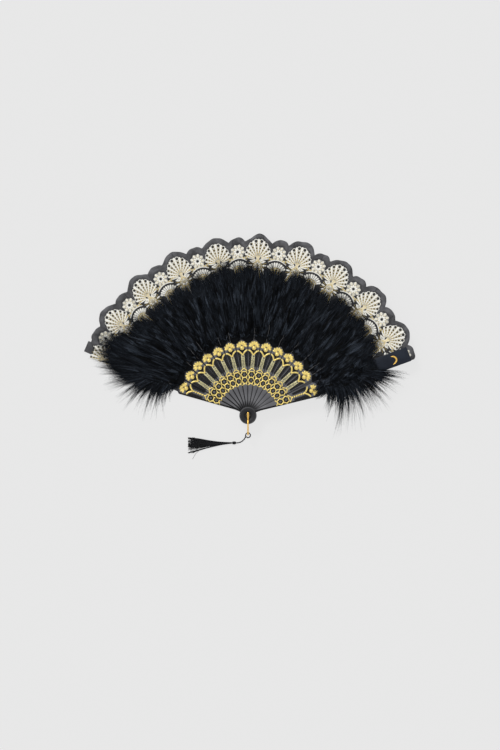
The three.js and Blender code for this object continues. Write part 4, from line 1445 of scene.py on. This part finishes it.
def edging():
    """The whole edging, drawn flat round the leaf."""
    seed(LACE_SEED)
    whole = Piece()

    def lay(piece, degrees):
        points = []
        for x, y, z in piece.points:
            x, y = polar(x, degrees, y)
            scale = left_scale(direction(x, y))
            points.append((x * scale, y * scale, z))
        whole.add((points, piece.faces), piece.marks, piece.shades)

    for number in range(-SHELLS_EACH_SIDE, SHELLS_EACH_SIDE + 1):
        angle = SHELL_PHASE - number * SHELL_PITCH
        one = Piece()
        shell(one)
        root_knot(one)
        lay(one, angle)
        if number < SHELLS_EACH_SIDE:
            between = Piece()
            rosette(between, ROSETTE_RADIUS + LAST_ROSETTE_SHIFT * (number == SHELLS_EACH_SIDE - 1))
            lay(between, angle - SHELL_PITCH / 2)
    return whole


def dealt_out(whole):
    """Edging of each gap, cut at the sticks and at the leaf's edge, with each point laid on the cloth."""
    parts = [Piece() for _ in range(LAST)]
    known = [{} for _ in range(LAST)]
    for face, mark in zip(whole.faces, whole.marks):
        x, y = (sum(whole.points[i][axis] for i in face) / len(face) for axis in (0, 1))
        angle = direction(x, y)
        radius = hypot(x, y)
        first, last = (radius * sin(rad(ANGLES[end] - angle)) for end in (0, LAST))
        if radius > edge_radius(angle) - LACE_INSET or first < LACE_ENDS[0] or last > LACE_ENDS[1]:
            continue
        k = gap_at(angle)
        for i in face:
            if i not in known[k]:
                x, y, z = whole.points[i]
                turn = direction(x, y)
                ground = cloth_height(gap_at(turn), hypot(x, y), turn) + CLOTH
                known[k][i] = len(parts[k].points)
                parts[k].points.append((x, y, ground + min(z, LACE_CREST) * LACE_RISE))
                parts[k].shades.append(whole.shades[i])
        parts[k].faces.append([known[k][i] for i in face])
        parts[k].marks.append(mark)
    return parts


for k, part in enumerate(dealt_out(edging())):
    strip = part.make(f"lace_strip_{k + 1:02d}", [IVORY, GOLD_THREAD], "ivory_lace")
    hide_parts(f"lace_{k + 1:02d}")
    bend(strip, k)
    flat, area = panel_cut(k)

# Feather trim: reach of the dense down by direction, then the hanging sides of the two end tufts
DENSE_REACH = (
    (180, 194), (160, 200), (154, 208), (150, 200), (145, 188), (137, 176), (127, 174), (116, 178),
    (107, 179), (102, 187), (95, 185), (85, 184), (77, 180), (65, 184), (58, 174), (52, 185), (42, 185),
    (37, 182), (32, 184), (28, 177), (24, 159), (0, 153),
)
REAR_HANG = ((-104, 34), (-117, 20), (-146, 26), (-166, 41), (-181, 55), (-187, 72))
REAR_WISPS = (
    (-102, 22), (-116, -4), (-135, -1), (-158, 8), (-168, 22), (-189, 34), (-181, 49), (-198, 60), (-200, 72),
)
FRONT_HANG = ((95, 28), (110, 9), (130, 15), (156, 23), (171, 38), (188, 54))
FRONT_WISPS = ((94, 24), (113, -21), (139, -12), (161, -7), (176, 8), (189, 27), (200, 44), (207, 55))
REAR_ROOTS = (100, 146)
FRONT_ROOTS = (101, 160)
HANG_CLUMPS = 480
HANG_BUNDLES = 12
ROOT_SPREAD = (-4, 6)
TIP_STRAY = 1.3
SAG = 1.5
LONG_BARBS = 12
DOWN_SEED = 500
DOWN_INNER = 101.0
# Nearest and farthest root of a row, its clumps, and their reach as a share of the dense down's
DOWN_ROWS = (
    (101, 108, 18, 0.60), (104, 120, 22, 0.74), (112, 132, 24, 0.85), (124, 146, 28, 0.93),
    (136, 158, 30, 0.98), (148, 168, 36, 1.01),
)
DOWN_LIFT = 3.4
DOWN_GAP = 0.1
DROOPS = (0.1, 0.14)
LOWEST_DOWN = 0.9
FLOW_ANGLE = 13.0
FLOW_FROM = (25, 35)
FLOW_STRAY = 5
INNER_FLOW_ANGLE = 14.0
INNER_FLOW_FROM = (60, 130)
INNER_FLOW_FADE = 20
LIFT_SPREAD = (0.5, 1.15)
TONE_SPREAD = (1.3, 2.9)
HANG_TONE_SPREAD = (1.3, 3.4)
PAINTED_STREAK_WAVE = 0.14
TONE_STRAY = 0.16
REACH_SPREAD = (-7, 5)
REACH_WAVE = 5.5
CURL = 2.5
BARBS = 13
BARB_STEPS = 6
BARB_WIDTH = 0.62
BARB_LIFT = 0.6
CLUMP_HALF = 2.1
TIP_HALF = 0.78
WISPS = 170
WISP_BUNCH = 12
WISP_BARBS = 6
WISP_ROOTS = (155, 178)
WISP_REACH = 22.0
WISP_LIFT = 2.2
WISP_WIDTH = 0.48
FRINGE_BARBS = 46
FRINGE_ROOTS = (101, 106)
FRINGE_REACH = (93.5, 99)
FRINGE_LOW = 98.6
FRINGE_HEIGHTS = (1.2, 0.15)
QUILL_ROOT = 97.5
QUILL_REACH = (106, 121)
QUILL_RISE = (1.5, 4.5)
QUILL_RADIUS = 0.34
NOTCH_REACH = 94.0
PAD_CROWN = 2.6
PAD_EDGE = 0.5
PAD_LUMP = 0.5
PAD_INSET = 0.9
PAD_SHORT = 9
REAR_REST = 2.4
GUARD_TUFT_HALF = to_degrees(GUARD_HALF / 150)


def along(line, share):
    """Point at a share of the way along a line of evenly timed points."""
    place = min(0.9999, max(0.0, share)) * (len(line) - 1)
    i = int(place)
    return tuple(mix(a, b, place - i) for a, b in zip(line[i], line[i + 1]))


def dense_reach(angle):
    """Reach of the down in a direction, from the listed directions on both sides of it."""
    for (left, one), (right, other) in zip(DENSE_REACH, DENSE_REACH[1:]):
        if angle >= right:
            return mix(other, one, (angle - right) / (left - right))
    return DENSE_REACH[-1][1]


def rest_height(j, x, y):
    """Height that down of tuft j lies on: the cloth, the front guard or the air beside the guards."""
    angle = to_degrees(atan2(y, x))
    radius = hypot(x, y)
    if j == LAST:
        beside = radius * sin(rad(ANGLES[LAST] - angle)) - GUARD_HALF
        return LAYERS[LAST] + GUARD_PLATE + DOWN_GAP - DROOPS[1] * max(0.0, beside)
    beside = radius * sin(rad(angle - ANGLES[0])) - GUARD_HALF
    ground = cloth_height(gap_at(angle), radius, angle) + CLOTH + LACE
    return ground - min(ground - LOWEST_DOWN, DROOPS[0] * max(0.0, beside))


def barb(piece, path, width, roll, shade):
    """One flat tapering strand of down along a path, tilted about itself."""
    points = []
    shades = []
    last = len(path) - 1
    for i, (x, y, z) in enumerate(path):
        sx, sy = side_of(path, i)
        share = i / last
        half = width / 2 * (0.35 + 0.65 * sin(pi * min(1.0, share + 0.25))) * (1 - share ** 3 * 0.85)
        flat = half * cos(roll)
        up = half * sin(roll)
        points += [(x - sx * flat, y - sy * flat, z - up), (x + sx * flat, y + sy * flat, z + up)]
        # Painted shade and highlight: each barb is darkest at its root, lightest a little past its middle and
        # darker again at its tip
        shades += [shade * (0.45 + 0.55 * sin(pi * (0.12 + 0.72 * share)))] * 2
    piece.add((points, [(2 * i, 2 * i + 1, 2 * i + 3, 2 * i + 2) for i in range(last)]), 0, shades)


def clump(piece, j, root, knee, tip, lift, tone, count=BARBS, width=BARB_WIDTH):
    """Barbs that leave a root together, open out and draw together again at the tip."""
    side = Vector((knee[1] - tip[1], tip[0] - knee[0], 0)).normalized()
    for _ in range(count):
        start = uniform(-CLUMP_HALF, CLUMP_HALF)
        middle = gauss(0, CLUMP_HALF * 0.75)
        end = gauss(0, TIP_HALF)
        cut = uniform(0.72, 1.06)
        rise = lift * uniform(0.5, 1.2)
        path = []
        for step in range(BARB_STEPS + 1):
            share = step / BARB_STEPS * cut
            shares = ((1 - share) ** 2, 2 * share * (1 - share), share * share)
            off = sum(part * aside for part, aside in zip(shares, (start, middle, end)))
            x, y = (
                sum(part * place[axis] for part, place in zip(shares, (root, knee, tip))) + side[axis] * off
                for axis in (0, 1)
            )
            height = PAD_CROWN * (1 - share) + rise * sin(pi * min(1.0, 0.1 + 0.85 * share)) + BARB_LIFT
            path.append((x, y, rest_height(j, x, y) + height))
        barb(piece, path, width * uniform(0.6, 1.2), uniform(-0.9, 0.9),
             max(0.0, tone + gauss(0, TONE_STRAY)))


def radial_clumps(piece, j, left, right):
    """Rows of clumps between two directions, from the leaf's inner edge to the lace."""
    for nearest, farthest, count, share in DOWN_ROWS:
        for number in range(count):
            angle = mix(left, right, (number + random()) / count)
            start = uniform(nearest, farthest)
            flow = FLOW_ANGLE * smooth((abs(angle - 90) - FLOW_FROM[0]) / FLOW_FROM[1])
            flow += FLOW_STRAY * sin(angle * 0.31 + start * 0.05) + gauss(0, FLOW_STRAY)
            flow += (INNER_FLOW_ANGLE * smooth((INNER_FLOW_FROM[0] - angle) / INNER_FLOW_FADE)
                     * smooth((INNER_FLOW_FROM[1] - start) / INNER_FLOW_FADE))
            bunch = REACH_WAVE * sin(angle * 1.9 + 0.7) * sin(angle * 0.77)
            reach = dense_reach(angle) * share + uniform(*REACH_SPREAD) + bunch
            lean = rad(flow) * (reach - start)
            knee = polar((start + reach) / 2, angle, lean * 0.3 + gauss(0, CURL))
            lift = DOWN_LIFT * uniform(*LIFT_SPREAD)
            # Random tone per clump, with a broad wave of painted light and shade streaks across the clumps
            tone = betavariate(*TONE_SPREAD) + PAINTED_STREAK_WAVE * sin(angle * 0.9 + start * 0.11)
            clump(piece, j, polar(start, angle), knee, polar(reach, angle, lean), lift, tone)


def wisps(piece, j, left, right):
    """Thin loose strands in bunches that reach out over the lace."""
    for number in range(WISPS):
        bunch = mix(right, left, (number // WISP_BUNCH + 0.5) * WISP_BUNCH / WISPS)
        angle = mix(uniform(right, left), bunch + gauss(0, 0.5), 0.6)
        start = uniform(*WISP_ROOTS)
        reach = dense_reach(angle) + uniform(0, 1) ** 1.5 * WISP_REACH
        knee = polar(mix(start, reach, 0.6), angle + gauss(0, 1.5))
        tip = polar(reach, angle + gauss(0, 2.0))
        clump(piece, j, polar(start, angle), knee, tip, WISP_LIFT, 0.3, WISP_BARBS, WISP_WIDTH)


def inner_fringe(piece, j, left, right):
    """Short down that fills the notches between the sticks' shoulders, and a bare quill."""
    for _ in range(FRINGE_BARBS):
        angle = mix(left, right, uniform(0.02, 0.98))
        start = uniform(*FRINGE_ROOTS)
        reach = mix(uniform(*FRINGE_REACH), FRINGE_LOW, abs(2 * (angle - right) / (left - right) - 1))
        foot = cloth_height(min(j, LAST - 1), start, angle)
        path = []
        for share in (0, 1 / 3, 2 / 3, 1):
            x, y = polar(mix(start, reach, share), angle + share * gauss(0, 1.2))
            path.append((x, y, foot + mix(*FRINGE_HEIGHTS, share)))
        barb(piece, path, BARB_WIDTH * 1.3, uniform(-0.5, 0.5), uniform(0.1, 0.5))
    angle = uniform(right, left)
    reach = uniform(*QUILL_REACH)
    path = []
    for share in (0, 0.25, 0.5, 0.75, 1):
        x, y = polar(mix(QUILL_ROOT, reach, share), angle + share * gauss(0, 0.5))
        path.append((x, y, rest_height(j, x, y) + QUILL_RISE[0] + QUILL_RISE[1] * sin(share * 2.2)))
    piece.add(tube(path, lambda share, turn: QUILL_RADIUS * (1 - 0.6 * share), 5), 1)


def pad(piece, j, left, right):
    """Low bed of down under the strands, near black as painted shade deep under them."""
    reach = dense_reach((left + right) / 2) - PAD_SHORT
    rings = []
    for row in range(17):
        ring = []
        for column in range(13):
            across = column / 12
            radius = mix(DOWN_INNER, reach, row / 16)
            if row == 0 and j < LAST:
                radius = mix(NOTCH_REACH, DOWN_INNER - 2, abs(2 * across - 1) ** 1.6)
            x, y = polar(radius, mix(left - PAD_INSET, right + PAD_INSET, across))
            hill = sin(pi * mix(0.04, 0.96, across)) * sin(pi * mix(0.06, 0.93, row / 16))
            lump = PAD_LUMP * sin(column * 2.3 + row * 1.1 + j)
            ring.append((x, y, rest_height(j, x, y) + PAD_EDGE + (PAD_CROWN + lump) * sqrt(hill)))
        rings.append(ring)
    # Painted shade: the bed's low shade
    piece.add(loft(rings, closed=False), 0, 0.08)


def hanging(piece, j, roots, hang, ends):
    """Strands of an end tuft that leave its guard sideways and hang past it in pointed bundles."""
    for number in range(HANG_CLUMPS):
        share = (number + random()) / HANG_CLUMPS
        bundle = round(share * HANG_BUNDLES) / HANG_BUNDLES
        start = polar(mix(*roots, share) + uniform(*ROOT_SPREAD), ANGLES[j])
        target = along(hang, mix(share, bundle, 0.3))
        far = along(ends, mix(share, bundle, 0.85))
        stretch = uniform(0.6, 1.12)
        long = number % 3 == 0
        if long:
            target = tuple(mix(a, b, uniform(0.15, 1.2)) for a, b in zip(target, far))
            stretch = 1.0
        tip = tuple(mix(a, b, stretch) + gauss(0, TIP_STRAY) for a, b in zip(start, target))
        out = polar(dist(start, tip) * 0.4, ANGLES[j])
        sag = gauss(0, SAG)
        knee = (start[0] + out[0] + sag, start[1] + out[1] * 0.3 + sag)
        tone = betavariate(*HANG_TONE_SPREAD)
        clump(piece, j, start, knee, tip, DOWN_LIFT * 0.7, tone, LONG_BARBS if long else BARBS)


def tuft(j):
    seed(DOWN_SEED + j)
    piece = Piece()
    left, right = ANGLES[j], ANGLES[min(j + 1, LAST)]
    if j == 0:
        left += REAR_REST
    if j == LAST:
        left, right = left + GUARD_TUFT_HALF, left - GUARD_TUFT_HALF
    pad(piece, j, left, right)
    radial_clumps(piece, j, left, right)
    wisps(piece, j, left, right)
    if j < LAST:
        inner_fringe(piece, j, left, right)
    if j == 0:
        hanging(piece, j, REAR_ROOTS, REAR_HANG, REAR_WISPS)
    if j == LAST:
        hanging(piece, j, FRONT_ROOTS, FRONT_HANG, FRONT_WISPS)
    made = piece.make(f"down_tuft_{j + 1:02d}", [DOWN, QUILL], "black_feather")
    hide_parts(f"feather_tuft_{j + 1:02d}")
    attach(made, BODIES[j])
    if j < LAST:
        anchor = Vector((*polar(DOWN_INNER, ANGLES[j]), SEATS[j] + CLOTH + GLUE)) * MM
        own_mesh(made)


for number in range(LAST + 1):
    tuft(number)
